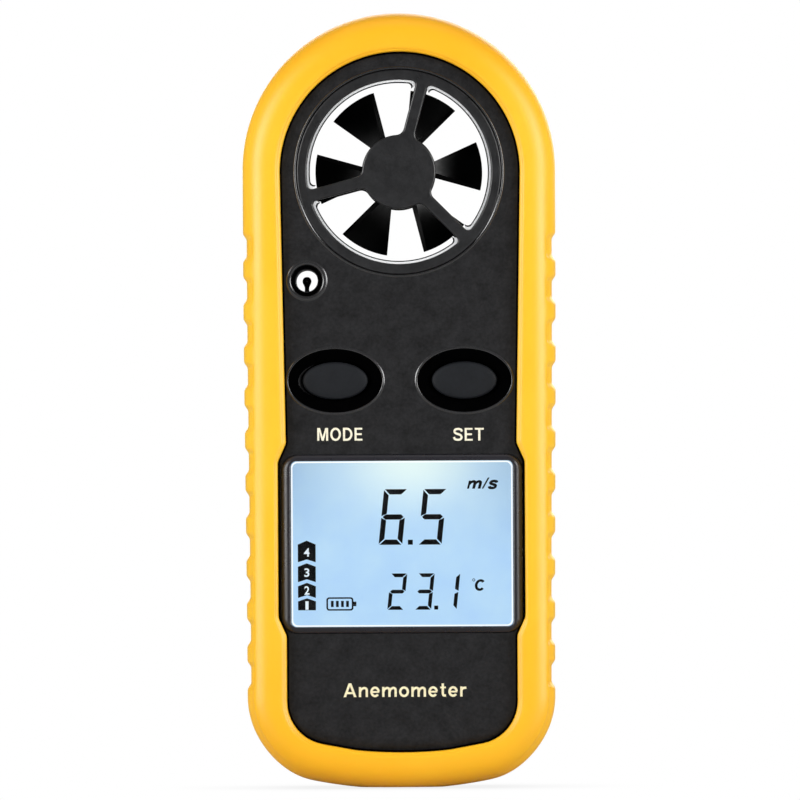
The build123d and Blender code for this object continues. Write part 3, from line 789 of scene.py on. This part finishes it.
# Widths of the painted shadow line: shown inside the window, and hidden under the boot's lip
SHADOW_SHOWN = 0.29
SHADOW_COVERED = 0.17
make_edge_shadow_line()

# ---------------- fan guards

MOUTH = 13.42
RING = 14.96
HUB = 5.4
SPOKE_HALF = 0.9
SPOKE_TURN = 75.0
MOUTH_ROUND = 0.62
HUB_ROUND = 1.25
# Widths of the painted glint and of the painted shade band inside the fan's mouth
MOUTH_GLINT = 0.34
MOUTH_SHADE = 0.11


def fan_opening(turn, clear=0.0):
    """The opening between two spokes, counter-clockwise from the spoke at the turn."""
    half, mouth, hub = SPOKE_HALF - clear, MOUTH + clear, HUB - clear
    hub_centre = (math.sqrt((hub + HUB_ROUND) ** 2 - (half + HUB_ROUND) ** 2), half + HUB_ROUND)
    rim_centre = (math.sqrt((mouth - MOUTH_ROUND) ** 2 - (half + MOUTH_ROUND) ** 2), half + MOUTH_ROUND)
    hub_angle = math.degrees(math.atan2(hub_centre[1], hub_centre[0]))
    rim_angle = math.degrees(math.atan2(rim_centre[1], rim_centre[0]))
    edge = arc_points(hub_centre, HUB_ROUND, 180 + hub_angle, 270, 12)
    edge += arc_points(rim_centre, MOUTH_ROUND, 270, 360 + rim_angle, 12)
    edge += arc_points((0, 0), mouth, rim_angle, 60, 24)[1:]
    mirrored = []
    for x, z in reversed(edge[:-1]):
        radius, angle = math.hypot(x, z), math.radians(120) - math.atan2(z, x)
        mirrored.append((radius * math.cos(angle), radius * math.sin(angle)))
    edge += mirrored
    edge += arc_points((0, 0), hub, 120 - hub_angle, hub_angle, 20)[1:-1]
    swing = math.radians(turn)
    return [
        (x * math.cos(swing) - z * math.sin(swing), fan_z + x * math.sin(swing) + z * math.cos(swing))
        for x, z in edge
    ]


def make_guard(side, node, face, inside):
    """One guard: ring, spokes and hub in one plate with softened edges, and the bearing boss behind it."""
    outside = arc_points((0, fan_z), RING, 0, 360, 180)[:-1]
    openings = [fan_opening(SPOKE_TURN + 120 * k) for k in range(3)]
    plate = bevelled_plate(f"fan_guard_{side}_plate", outside, openings, face, inside, 0.3, 5)
    place(plate, "case", "guard")
    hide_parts(node)
    inward = 1 if inside > face else -1
    steps = [(0.9, -0.3), (2.7, -0.3), (2.7, 1.3), (2.5, 1.5), (1.65, 1.5), (1.65, 0.6), (0.9, 0.6)]
    profile = turned([(radius, inside + depth * inward) for radius, depth in steps])
    boss = oval_sweep(f"fan_guard_{side}_boss", profile, 0, fan_z, 64)
    place(boss, "case", "guard")
    # The moulded lip of the case around the ring
    lip = oval_sweep(f"fan_ring_lip_{side}", lip_profile(RING + 0.12, RING + 0.12, face, inward), 0, fan_z, 180)
    place(lip, "case", "bead_line")


def make_mouth_glint():
    """A pale band just inside the front guard's mouth that paints the glint of the duct's edge, with a
    near-black band inside it that paints the shade on the duct's wall.
    """
    face = guard_low.y + 0.36
    insets = (-0.06, MOUTH_GLINT - 0.02, MOUTH_GLINT - 0.04, MOUTH_GLINT + MOUTH_SHADE)
    pale, dark = [], []
    for k in range(3):
        lines = [fan_opening(SPOKE_TURN + 120 * k, -inset) for inset in insets]
        kept = [i for i, (x, z) in enumerate(lines[0]) if math.hypot(x, z - fan_z) > MOUTH - 0.75]
        outer, inner, rim_outer, rim_inner = [[line[i] for i in kept] for line in lines]
        pale.append((outer, inner))
        dark.append((rim_outer, rim_inner))
    # The pale band is a painted highlight and the near-black band a painted shade
    place(band("fan_mouth_painted_glint", pale, face + 0.04, 0.4), "case", "painted_glint")
    place(band("fan_mouth_painted_shade", dark, face, 0.6), "case", "impeller")


guard_inside = guard_low.y + 1.8
make_guard("front", "fan_guard_front", guard_low.y, guard_inside)
make_guard("rear", "fan_guard_rear", -guard_low.y, -guard_inside)
make_mouth_glint()

# ---------------- temperature sensor

sensor_low, sensor_high = node_box("thermistor")
SENSOR_X = (sensor_low.x + sensor_high.x) / 2
SENSOR_Z = sensor_high.z - (sensor_high.x - sensor_low.x) / 2


def sensor_ring(name, steps, look):
    """A ring round the sensor's hole, from its (radius, depth behind the case's face) steps."""
    profile = turned([(radius, case_front + depth) for radius, depth in steps])
    place(oval_sweep(name, profile, SENSOR_X, SENSOR_Z, 72), "case", look)


def make_sensor():
    """The near-black collar, painted shade in the countersink, and the mound round the hole, and the dipped
    bead with its coating run down on to the leads.
    """
    # The collar is near-black: painted shade in the countersink round the hole
    collar = [(1.62, 1.0), (1.62, 0.62), (1.78, 0.42), (2.1, 0.16), (2.32, -0.01), (2.42, -0.04), (2.42, 1.0)]
    sensor_ring("sensor_shaded_collar", collar, "shade_black")
    mound = [(2.36, 0.2), (2.36, -0.04), (2.46, -0.11), (2.62, -0.13), (2.82, -0.09), (2.98, -0.02)]
    mound += [(3.04, 0.02), (3.04, 0.2)]
    sensor_ring("sensor_mound", mound, "bead_line")
    middle_y = (sensor_low.y + sensor_high.y) / 2
    outline = [(0.03, 0.6), (0.25, 0.57), (0.46, 0.44), (0.61, 0.2), (0.66, -0.06), (0.6, -0.34), (0.47, -0.6)]
    outline += [(0.36, -0.86), (0.32, -1.1), (0.34, -1.5), (0.36, -2.4), (0.3, -3.4)]
    outline.append((0.22, sensor_low.z - SENSOR_Z))
    turns = [2 * math.pi * i / 24 for i in range(24)]
    rings = [
        [(SENSOR_X + r * math.cos(t), middle_y + r * math.sin(t), SENSOR_Z + rise) for t in turns]
        for r, rise in outline
    ]
    vertices, faces = [], []
    add_skin(vertices, faces, rings, cycle=False)
    bead = finish_mesh("sensor_bead", vertices, faces)
    place(bead, "case", "bead")
    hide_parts("thermistor")


make_sensor()

# ---------------- keys

KEY_HALF_WIDTH = 4.74
KEY_HALF_HEIGHT = 2.72
KEY_ROUND = 0.45
KEY_CROWN = 0.16
KEY_FOOT = 1.3
DISH_HALF_WIDTH = 6.9
DISH_HALF_HEIGHT = 4.68
RIM_FLAT = 0.9
# The MODE key and its bowl sit this much nearer to the side than their CAD
MODE_SHIFT = 0.13
# How the bowl round a key falls away, its near-black a painted shade: (distance in from its rim, depth)
BOWL = [
    (-0.02, -0.015), (0.15, 0.03), (0.38, 0.15), (0.75, 0.41),
    (1.2, 0.76), (1.66, 1.13), (2.0, 1.42), (2.03, 2.2),
]


def make_key(name, node, low, high, x):
    """A crowned oval key with its hidden flange and foot, and the bowl that it sits in."""
    top, flange_back, foot_back = low.y, high.y - 0.6, high.y
    flange_width, flange_height = (high.x - low.x) / 2, (high.z - low.z) / 2
    flange_front = flange_back - 0.8
    profile = []
    for share in (0.04 + 0.96 * i / 9 for i in range(9)):
        width, height = (KEY_HALF_WIDTH - KEY_ROUND) * share, (KEY_HALF_HEIGHT - KEY_ROUND) * share
        profile.append((width, height, top + KEY_CROWN * share**3))
    for turn in (math.radians(18 + 72 * i / 6) for i in range(7)):
        grow, fall = KEY_ROUND * (math.sin(turn) - 1), KEY_ROUND * (1 - math.cos(turn))
        profile.append((KEY_HALF_WIDTH + grow, KEY_HALF_HEIGHT + grow, top + KEY_CROWN + fall))
    profile += [
        (KEY_HALF_WIDTH, KEY_HALF_HEIGHT, flange_front),
        (flange_width, flange_height, flange_front),
        (flange_width, flange_height, flange_back),
    ]
    profile += turned([(KEY_FOOT, flange_back), (KEY_FOOT, foot_back)])
    key = oval_sweep(f"{name}_key", profile, x, key_z, 96, closed=False)
    place(key, node, "key")
    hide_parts(node)
    # The bowl is near-black: painted shade in the recess round the key
    front = [(DISH_HALF_WIDTH - d, DISH_HALF_HEIGHT - d * 0.935, case_front + y) for d, y in BOWL]
    behind = [(w, h, y + 0.3) for w, h, y in reversed(front)]
    bowl = oval_sweep(f"{name}_bowl", front + behind, x, key_z, 120)
    place(bowl, "case", "shade_black")
    profile = lip_profile(DISH_HALF_WIDTH, DISH_HALF_HEIGHT, case_front, 1, 0.12, 0.34)
    rim = oval_sweep(f"{name}_bowl_rim", profile, x, key_z, 120)
    # The rim stands up least at its top, where it runs out into the case
    for vertex in rim.data.vertices:
        across, up = vertex.co.x / MM - x, vertex.co.z / MM - key_z
        flat = RIM_FLAT * max(0.0, up / math.hypot(across, up)) ** 1.5
        vertex.co.y += max(0.0, case_front * MM - vertex.co.y) * flat
    rim.data.update()
    place(rim, "case", "bead_line")


make_key("mode", "mode_button", mode_low, mode_high, mode_x - MODE_SHIFT)
make_key("set", "set_button", set_low, set_high, set_x)

# ---------------- bezel

# The frame's section: (share of its width out from the window, share of its height)
BEZEL_SLOPE = [
    (0.0, 0.0), (0.0, 0.72), (0.03, 0.86), (0.09, 0.95), (0.17, 1.0), (0.26, 0.995), (0.36, 0.955),
    (0.48, 0.87), (0.62, 0.745), (0.76, 0.605), (0.88, 0.465), (0.95, 0.34), (0.985, 0.2), (1.0, 0.0),
]


def make_bezel():
    """The frame round the display: it slopes up to a rounded crown that drops steeply to the window."""
    low, high = node_box("lcd_bezel")
    middle, size = (low + high) / 2, high - low
    outer = rounded_box_outline(middle.x, middle.z, size.x, size.z, 2.4, 16)
    inner = rounded_box_outline(lens_x, lens_z, lens_width + 0.1, lens_height + 0.1, 0.8, 16)
    base, crown, back = case_front + 0.04, low.y, high.y
    section = [(share, base + (crown - base) * rise) for share, rise in BEZEL_SLOPE]
    section += [(1.0, back), (0.0, back)]
    loops = [
        [(ax + (bx - ax) * share, y, az + (bz - az) * share) for (ax, az), (bx, bz) in zip(inner, outer)]
        for share, y in section
    ]
    vertices, faces = [], []
    add_skin(vertices, faces, loops)
    bezel = finish_mesh("display_bezel", vertices, faces)
    bezel.data.set_sharp_from_angle(angle=math.radians(60))
    place(bezel, "case", "bezel")
    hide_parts("lcd_bezel")


make_bezel()

# ---------------- lettering


def numeral(name, text, x, z, height, width, front, thickness=0.01, weight=0.02):
    """A small pale figure of the display's font, centred on (x, z), as a thin closed mesh."""
    curve = bpy.data.curves.new(name, "FONT")
    curve.body = text
    curve.align_x = "CENTER"
    curve.offset = weight
    curve.extrude = 0.5
    curve.resolution_u = 6
    holder = add_object(name + "_type", curve)
    bpy.context.view_layer.update()
    mesh = bpy.data.meshes.new_from_object(holder.evaluated_get(bpy.context.evaluated_depsgraph_get()))
    bpy.data.objects.remove(holder)
    xs = [v.co.x for v in mesh.vertices]
    ys = [v.co.y for v in mesh.vertices]
    middle, wide, tall = (max(xs) + min(xs)) / 2, max(xs) - min(xs), max(ys) - min(ys)
    low = min(ys)
    for v in mesh.vertices:
        across = (v.co.x - middle) * width / wide
        up = (v.co.y - low) / tall * height
        depth = thickness if v.co.z < 0 else 0.0
        v.co = Vector((x + across, front + depth, z - height / 2 + up)) * MM
    mesh.name = name
    close_up(mesh)
    for polygon in mesh.polygons:
        polygon.use_smooth = False
        polygon.material_index = 0
    place(add_object(name, mesh), "case", "segment_pale")


STROKE = 0.168
# Overlapping strokes lie this much over each other
LAYER = 0.003
LOWER_CASE = 0.74
# The middle of an S, from its top end to its bottom end, one unit wide and high
DOUBLE_CURVE = [
    (0.93, 0.72), (0.84, 0.87), (0.52, 0.925), (0.22, 0.87), (0.125, 0.73), (0.24, 0.6), (0.52, 0.52),
    (0.8, 0.43), (0.89, 0.27), (0.78, 0.12), (0.48, 0.075), (0.17, 0.13), (0.07, 0.29),
]


def box_shape(x0, z0, x1, z1):
    return [(x0, z0), (x1, z0), (x1, z1), (x0, z1)]


def letter_shapes():
    """A plain bold sans: each letter is its width, its filled shapes and its (stroke, closed) lines."""
    w, h, low = STROKE, STROKE / 2, LOWER_CASE
    bar = w * 0.87
    stem = box_shape(0, 0, w, low - 0.01)

    def double_curve(width, height):
        return smooth_line([(x * width, z * height) for x, z in DOUBLE_CURVE])

    def arch(x0, x1):
        return smooth_line(
            [(x0 + h * 0.3, 0.4), (x0 + h * 0.9, 0.54), (x0 + (x1 - x0) * 0.52, low - h),
             (x1 - h * 1.35, 0.585), (x1 - h, 0.44), (x1 - h, 0.2), (x1 - h, 0.0)]
        )

    m_width, a_width, a_middle = 0.88, 0.94, 0.47
    m_outline = [
        (0, 0), (w, 0), (w, 0.72), (m_width / 2 - h, 0), (m_width / 2 + h, 0), (m_width - w, 0.72),
        (m_width - w, 0), (m_width, 0), (m_width, 1), (m_width - w * 1.35, 1), (m_width / 2, 0.3),
        (w * 1.35, 1), (0, 1),
    ]
    d_line = [(h, h * 0.85), (0.3, h * 0.85)] + oval_line(0.3, 0.5, 0.46 - h, 0.5 - h * 0.85, -80, 80, 20)
    d_line += [(0.3, 1 - h * 0.85), (h, 1 - h * 0.85)]
    e_boxes = [(0, 0, w, 1), (w, 0, 0.63, bar), (w, 0.43, 0.58, 0.43 + bar), (w, 1 - bar, 0.62, 1)]
    a_left = [(0, 0), (w * 1.1, 0), (a_middle, 0.78), (a_middle, 1), (a_middle - w * 0.58, 1)]
    a_right = [
        (a_width, 0), (a_middle + w * 0.58, 1), (a_middle, 1), (a_middle, 0.78), (a_width - w * 1.1, 0)
    ]
    a_bar = box_shape(0.22, 0.22, a_width - 0.22, 0.22 + w * 0.85)
    o_ring = oval_line(0.36, low / 2, 0.36 - h, low / 2 + 0.01 - h * 0.9, 0, 360, 32)[:-1]
    e_ring = oval_line(0.345, low / 2, 0.345 - h, low / 2 + 0.01 - h * 0.9, 4, 322, 36)
    t_hook = smooth_line([(0.19, 0.96), (0.19, 0.7), (0.19, 0.4), (0.195, 0.2), (0.25, 0.095), (0.42, 0.085)])
    r_hook = smooth_line([(h, 0.36), (h + 0.03, 0.52), (0.24, 0.62), (0.45, 0.645)])
    return {
        "M": (m_width, [m_outline], []),
        "O": (0.86, [], [(oval_line(0.43, 0.5, 0.43 - h, 0.51 - h * 0.9, 0, 360, 40)[:-1], True)]),
        "D": (0.76, [], [(d_line, True)]),
        "E": (0.63, [box_shape(*corners) for corners in e_boxes], []),
        "S": (0.72, [], [(double_curve(0.72, 1), False)]),
        "T": (0.7, [box_shape(0, 1 - bar, 0.7, 1), box_shape(0.35 - h, 0, 0.35 + h, 1 - bar)], []),
        "A": (a_width, [a_left, a_right, a_bar], []),
        "n": (0.66, [stem], [(arch(h, 0.66), False)]),
        "m": (1.06, [stem], [(arch(h, 0.53 + h), False), (arch(0.53, 1.06), False)]),
        "o": (0.72, [], [(o_ring, True)]),
        "e": (0.69, [box_shape(h, 0.3, 0.69 - h * 0.5, 0.3 + w * 0.75)], [(e_ring, False)]),
        "t": (0.42, [box_shape(0, low - w * 0.8, 0.41, low - 0.01)], [(t_hook, False)]),
        "r": (0.45, [stem], [(r_hook, False)]),
        "s": (0.6, [], [(double_curve(0.6, low), False)]),
        "C": (0.78, [], [(oval_line(0.42, 0.5, 0.42 - h, 0.51 - h * 0.9, 42, 318, 32), False)]),
        "/": (0.4, [[(0, 0), (w * 0.8, 0), (0.4, 1), (0.4 - w * 0.8, 1)]], []),
    }


LETTERS = letter_shapes()


def legend(name, text, x, z, cap_height, width, look, front, **style):
    """A printed word centred on (x, z), as thin closed strokes."""
    thickness, gap, slant = style.get("thickness", 0.04), style.get("gap", 0.17), style.get("slant", 0.0)
    weight, slot = style.get("weight", STROKE), style.get("slot", "case_plastic")
    total = sum(LETTERS[c][0] for c in text) + gap * (len(text) - 1)
    stretch = width / total
    vertices, faces = [], []

    def spots(line, face):
        """Points of a line in the letter's own units, put on the face."""
        left = x - width / 2 + pen * stretch
        return [
            (left + px * stretch + slant * (pz - 0.5) * cap_height, face, z + (pz - 0.5) * cap_height)
            for px, pz in line
        ]

    pen = 0.0
    for character in text:
        advance, shapes, strokes = LETTERS[character]
        for layer, shape in enumerate(shapes):
            face = front - LAYER * layer
            add_skin(vertices, faces, [spots(shape, face), spots(shape, face + thickness)], cycle=False)
        for layer, (line, closed) in enumerate(strokes, len(shapes)):
            face = front - LAYER * layer
            left, right = ribbon(line, weight, closed)
            add_strip(vertices, faces, spots(left, face), spots(right, face), thickness, closed)
        pen += advance + gap
    return place(finish_mesh(name, vertices, faces, smooth=False, merge=False), "case", look)


PRINT = case_front - 0.025
legend("legend_mode", "MODE", -8.8, 51.5, 1.86, 6.58, "legend", PRINT)
legend("legend_set", "SET", 9.96, 51.4, 1.86, 4.42, "legend", PRINT)
legend("legend_title", "Anemometer", 0.5, 14.2, 2.0, 17.9, "title", PRINT)

# ---------------- display

LCD_FACE = glass_low.y
SEGMENTS = {
    "1": "bc",
    "2": "abged",
    "3": "abgcd",
    "5": "afgcd",
    "6": "afgcde",
}
DIGIT_SLANT = 0.105
SEGMENT_DEPTH = 0.015
COLUMN_X, COLUMN_HALF = -13.72, 1.3
# Low edge, shoulder, apex and notch of each block
COLUMN_LEVELS = [
    (25.85, 27.15, 27.6, 0.0), (27.65, 29.35, 29.85, 0.42),
    (29.95, 32.2, 32.7, 0.42), (32.85, 35.45, 36.0, 0.42),
]
BATTERY_X, BATTERY_Z = -8.92, 26.75


def digit_outlines(digit, x, z, width, height, stroke):
    """The mitred bars of one seven-segment digit, leaning to the right."""
    gap, half = stroke * 0.16, height / 2
    edge, shelf = width - stroke, height - stroke
    tip, thick = stroke * 0.62 + gap, stroke / 2
    bars = {
        "a": [(gap, height), (width - gap, height), (edge - gap, shelf), (stroke + gap, shelf)],
        "d": [(gap, 0), (stroke + gap, stroke), (edge - gap, stroke), (width - gap, 0)],
        "f": [(0, height - gap), (stroke, shelf - gap), (stroke, half + thick + gap), (0, half + gap)],
        "b": [(width, height - gap), (width, half + gap), (edge, half + thick + gap), (edge, shelf - gap)],
        "e": [(0, gap), (0, half - gap), (stroke, half - thick - gap), (stroke, stroke + gap)],
        "c": [(width, gap), (edge, stroke + gap), (edge, half - thick - gap), (width, half - gap)],
        "g": [
            (gap * 1.6, half), (tip, half + thick), (width - tip, half + thick),
            (width - gap * 1.6, half), (width - tip, half - thick), (tip, half - thick),
        ],
    }
    return [[(x + px + DIGIT_SLANT * pz, z + pz) for px, pz in bars[bar]] for bar in SEGMENTS[digit]]


def block(x, z, width, height):
    """A plain bar of the display, centred on (x, z)."""
    return box_shape(x - width / 2, z - height / 2, x + width / 2, z + height / 2)


def arrow_block(low, shoulder, apex, hollow):
    """One block of the wind-force column: pointed at the top, notched by the one below."""
    left, right = COLUMN_X - COLUMN_HALF, COLUMN_X + COLUMN_HALF
    notch, tip = (COLUMN_X, low + hollow), (COLUMN_X, apex)
    return [(left, low), notch, (right, low), (right, shoulder), tip, (left, shoulder)]


def lens_frame(inset, corner):
    """The outline of the window, drawn in by half the inset on each side."""
    return rounded_box_outline(lens_x, lens_z, lens_width - inset, lens_height - inset, corner)


def make_display():
    """Everything that the display shows, as thin pieces on the glass."""
    face = LCD_FACE - 0.04
    screen = slab("lcd_lit_area", [lens_frame(-0.05, 0.78)], LCD_FACE - 0.02, SEGMENT_DEPTH)
    place(screen, "case", "display")
    dark = []
    for digit, x in (("6", -3.24), ("5", 2.5)):
        dark += digit_outlines(digit, x, 35.34, width=3.45, height=8.1, stroke=0.76)
    dark.append(block(1.4, 35.7, 0.72, 0.72))
    for digit, x in (("2", -2.02), ("3", 1.98), ("1", 5.7)):
        dark += digit_outlines(digit, x, 25.85, width=2.4, height=5.3, stroke=0.54)
    dark.append(block(5.12, 26.15, 0.58, 0.58))
    dark += [arrow_block(*level) for level in COLUMN_LEVELS]
    # Battery sign: a rounded case with four bars and a terminal
    dark += [block(BATTERY_X - 1.11 + bar * 0.74, BATTERY_Z, 0.4, 0.9) for bar in range(4)]
    dark.append(block(-6.76, BATTERY_Z, 0.48, 0.66))
    place(slab("lcd_segments", dark, face, SEGMENT_DEPTH), "case", "segment")
    rim = frame_ring(
        "lcd_battery_sign",
        rounded_box_outline(BATTERY_X, BATTERY_Z, 3.46, 1.5, 0.22),
        rounded_box_outline(BATTERY_X, BATTERY_Z, 3.95, 1.95, 0.42),
        face,
        SEGMENT_DEPTH,
    )
    place(rim, "case", "segment")
    for number, z, width in zip("1234", (26.55, 28.75, 31.35, 34.3), (0.45, 0.75, 0.75, 0.85)):
        numeral(f"lcd_level_{number}", number, COLUMN_X, z, 1.25, width, face - SEGMENT_DEPTH)
    unit = {"thickness": SEGMENT_DEPTH, "slot": "lcd_glass", "gap": 0.12, "slant": 0.26, "weight": 0.235}
    legend("lcd_speed_unit", "m/s", 12.0, 44.27, 1.62, 4.2, "segment", face, **unit)
    unit.update({"gap": 0.1, "slant": 0.12, "weight": 0.23})
    legend("lcd_temperature_unit", "C", 11.5, 29.4, 1.55, 1.35, "segment", face, **unit)
    turns = [2 * math.pi * i / 6 for i in range(6)]
    middle, thick = 0.17, 0.045
    bead = [(middle + thick * math.cos(t), face + 0.005 + thick * math.sin(t)) for t in turns]
    place(oval_sweep("lcd_degree_sign", turned(bead), 10.62, 30.15, 20), "case", "segment")
    # Light that leaks along the edge of the window
    glow = frame_ring("lcd_edge_light", lens_frame(0.45, 0.75), lens_frame(0.04, 0.9), lens_low.y - 0.01, 0.02)
    place(glow, "case", "edge_glow")


make_display()

# ---------------- stage, light and camera

FLOOR_REACH = 6.0
WORLD_LIGHT = 0.19
CAMERA_LENS = 600.0
SENSOR_WIDTH = 36.0
# The meter's height as a share of the picture's
SEEN_SHARE = 0.9665
AIM = (0, 0, 0.056)


def seen_and_felt(tree, output, felt, seen):
    """Ends a tree so that the camera sees one shader and everything else is lit by the other."""
    path = tree.nodes.new("ShaderNodeLightPath")
    inputs = {0: path.outputs["Is Camera Ray"], 1: felt.outputs[0], 2: seen.outputs[0]}
    mix = add_node(tree, "ShaderNodeMixShader", inputs)
    add_node(tree, output, {"Surface": mix.outputs[0]})


def make_floor():
    """A white sweep: bright to the camera, with a painted contact shadow, a soft dip in brightness where
    something stands on it.
    """
    material = bpy.data.materials.new("pale_floor_look")
    material.use_nodes = True
    tree = material.node_tree
    tree.nodes.clear()
    # Ambient occlusion dims the floor's self-lit white near the meter: a painted contact shadow
    painted_contact_shadow = add_node(tree, "ShaderNodeAmbientOcclusion", {"Distance": 0.02}, samples=8)
    strength = map_range(tree, painted_contact_shadow.outputs["AO"], 0.0, 0.9, 0.86, 1.0)
    felt = add_node(tree, "ShaderNodeBsdfDiffuse", {"Color": (0.5, 0.5, 0.5, 1)})
    seen = add_node(tree, "ShaderNodeEmission", {"Strength": strength})
    seen_and_felt(tree, "ShaderNodeOutputMaterial", felt, seen)
    mesh = bpy.data.meshes.new("floor")
    corners = box_shape(-FLOOR_REACH, -FLOOR_REACH, FLOOR_REACH, FLOOR_REACH)
    mesh.from_pydata([(x, y, 0) for x, y in corners], [], [(0, 1, 2, 3)])
    floor = add_object("floor", mesh)
    mesh.materials.append(material)
    floor.location.z = -0.0002


def make_world():
    world = bpy.data.worlds.new("studio")
    world.use_nodes = True
    tree = world.node_tree
    tree.nodes.clear()
    felt, seen = [
        add_node(tree, "ShaderNodeBackground", {"Color": (1, 1, 1, 1), "Strength": strength})
        for strength in (WORLD_LIGHT, 1.0)
    ]
    seen_and_felt(tree, "ShaderNodeOutputWorld", felt, seen)
    scene.world = world


def area_light(name, x, y, z, width, height, power):
    """A rectangular light that points at the middle of the meter."""
    data = bpy.data.lights.new(name, "AREA")
    data.shape = "RECTANGLE"
    data.size = width
    data.size_y = height
    data.energy = power
    light = add_object(name, data)
    light.location = (x, y, z)
    light.rotation_euler = (Vector(AIM) - Vector((x, y, z))).to_track_quat("-Z", "Y").to_euler()


def make_camera():
    """A long lens straight in front, level with the middle of the meter."""
    data = bpy.data.cameras.new("camera")
    data.lens = CAMERA_LENS
    data.sensor_width = SENSOR_WIDTH
    data.dof.use_dof = False
    data.clip_start = 0.01
    data.clip_end = 50.0
    camera = add_object("camera", data)
    seen_height = (boot_high.z - boot_low.z) * MM / SEEN_SHARE
    distance = seen_height * CAMERA_LENS / SENSOR_WIDTH + BOOT_FACE * MM * 0.45
    camera.location = (0, -distance, (boot_high.z + boot_low.z) / 2 * MM)
    camera.rotation_euler = (math.radians(90), 0, 0)
    camera.rotation_euler.rotate_axis("Z", math.radians(-0.3))
    scene.camera = camera


make_floor()
make_world()
area_light("soft_left", -0.62, -0.42, 0.12, 0.45, 0.6, 6.9)
area_light("soft_right", 0.62, -0.42, 0.12, 0.45, 0.6, 6.9)
area_light("soft_top", 0, -0.1, 0.8, 0.7, 0.4, 0.5)
area_light("soft_back", 0.1, 0.7, 0.35, 0.7, 0.5, 3.0)
make_camera()
scene.view_settings.view_transform = "Standard"
scene.view_settings.look = "None"
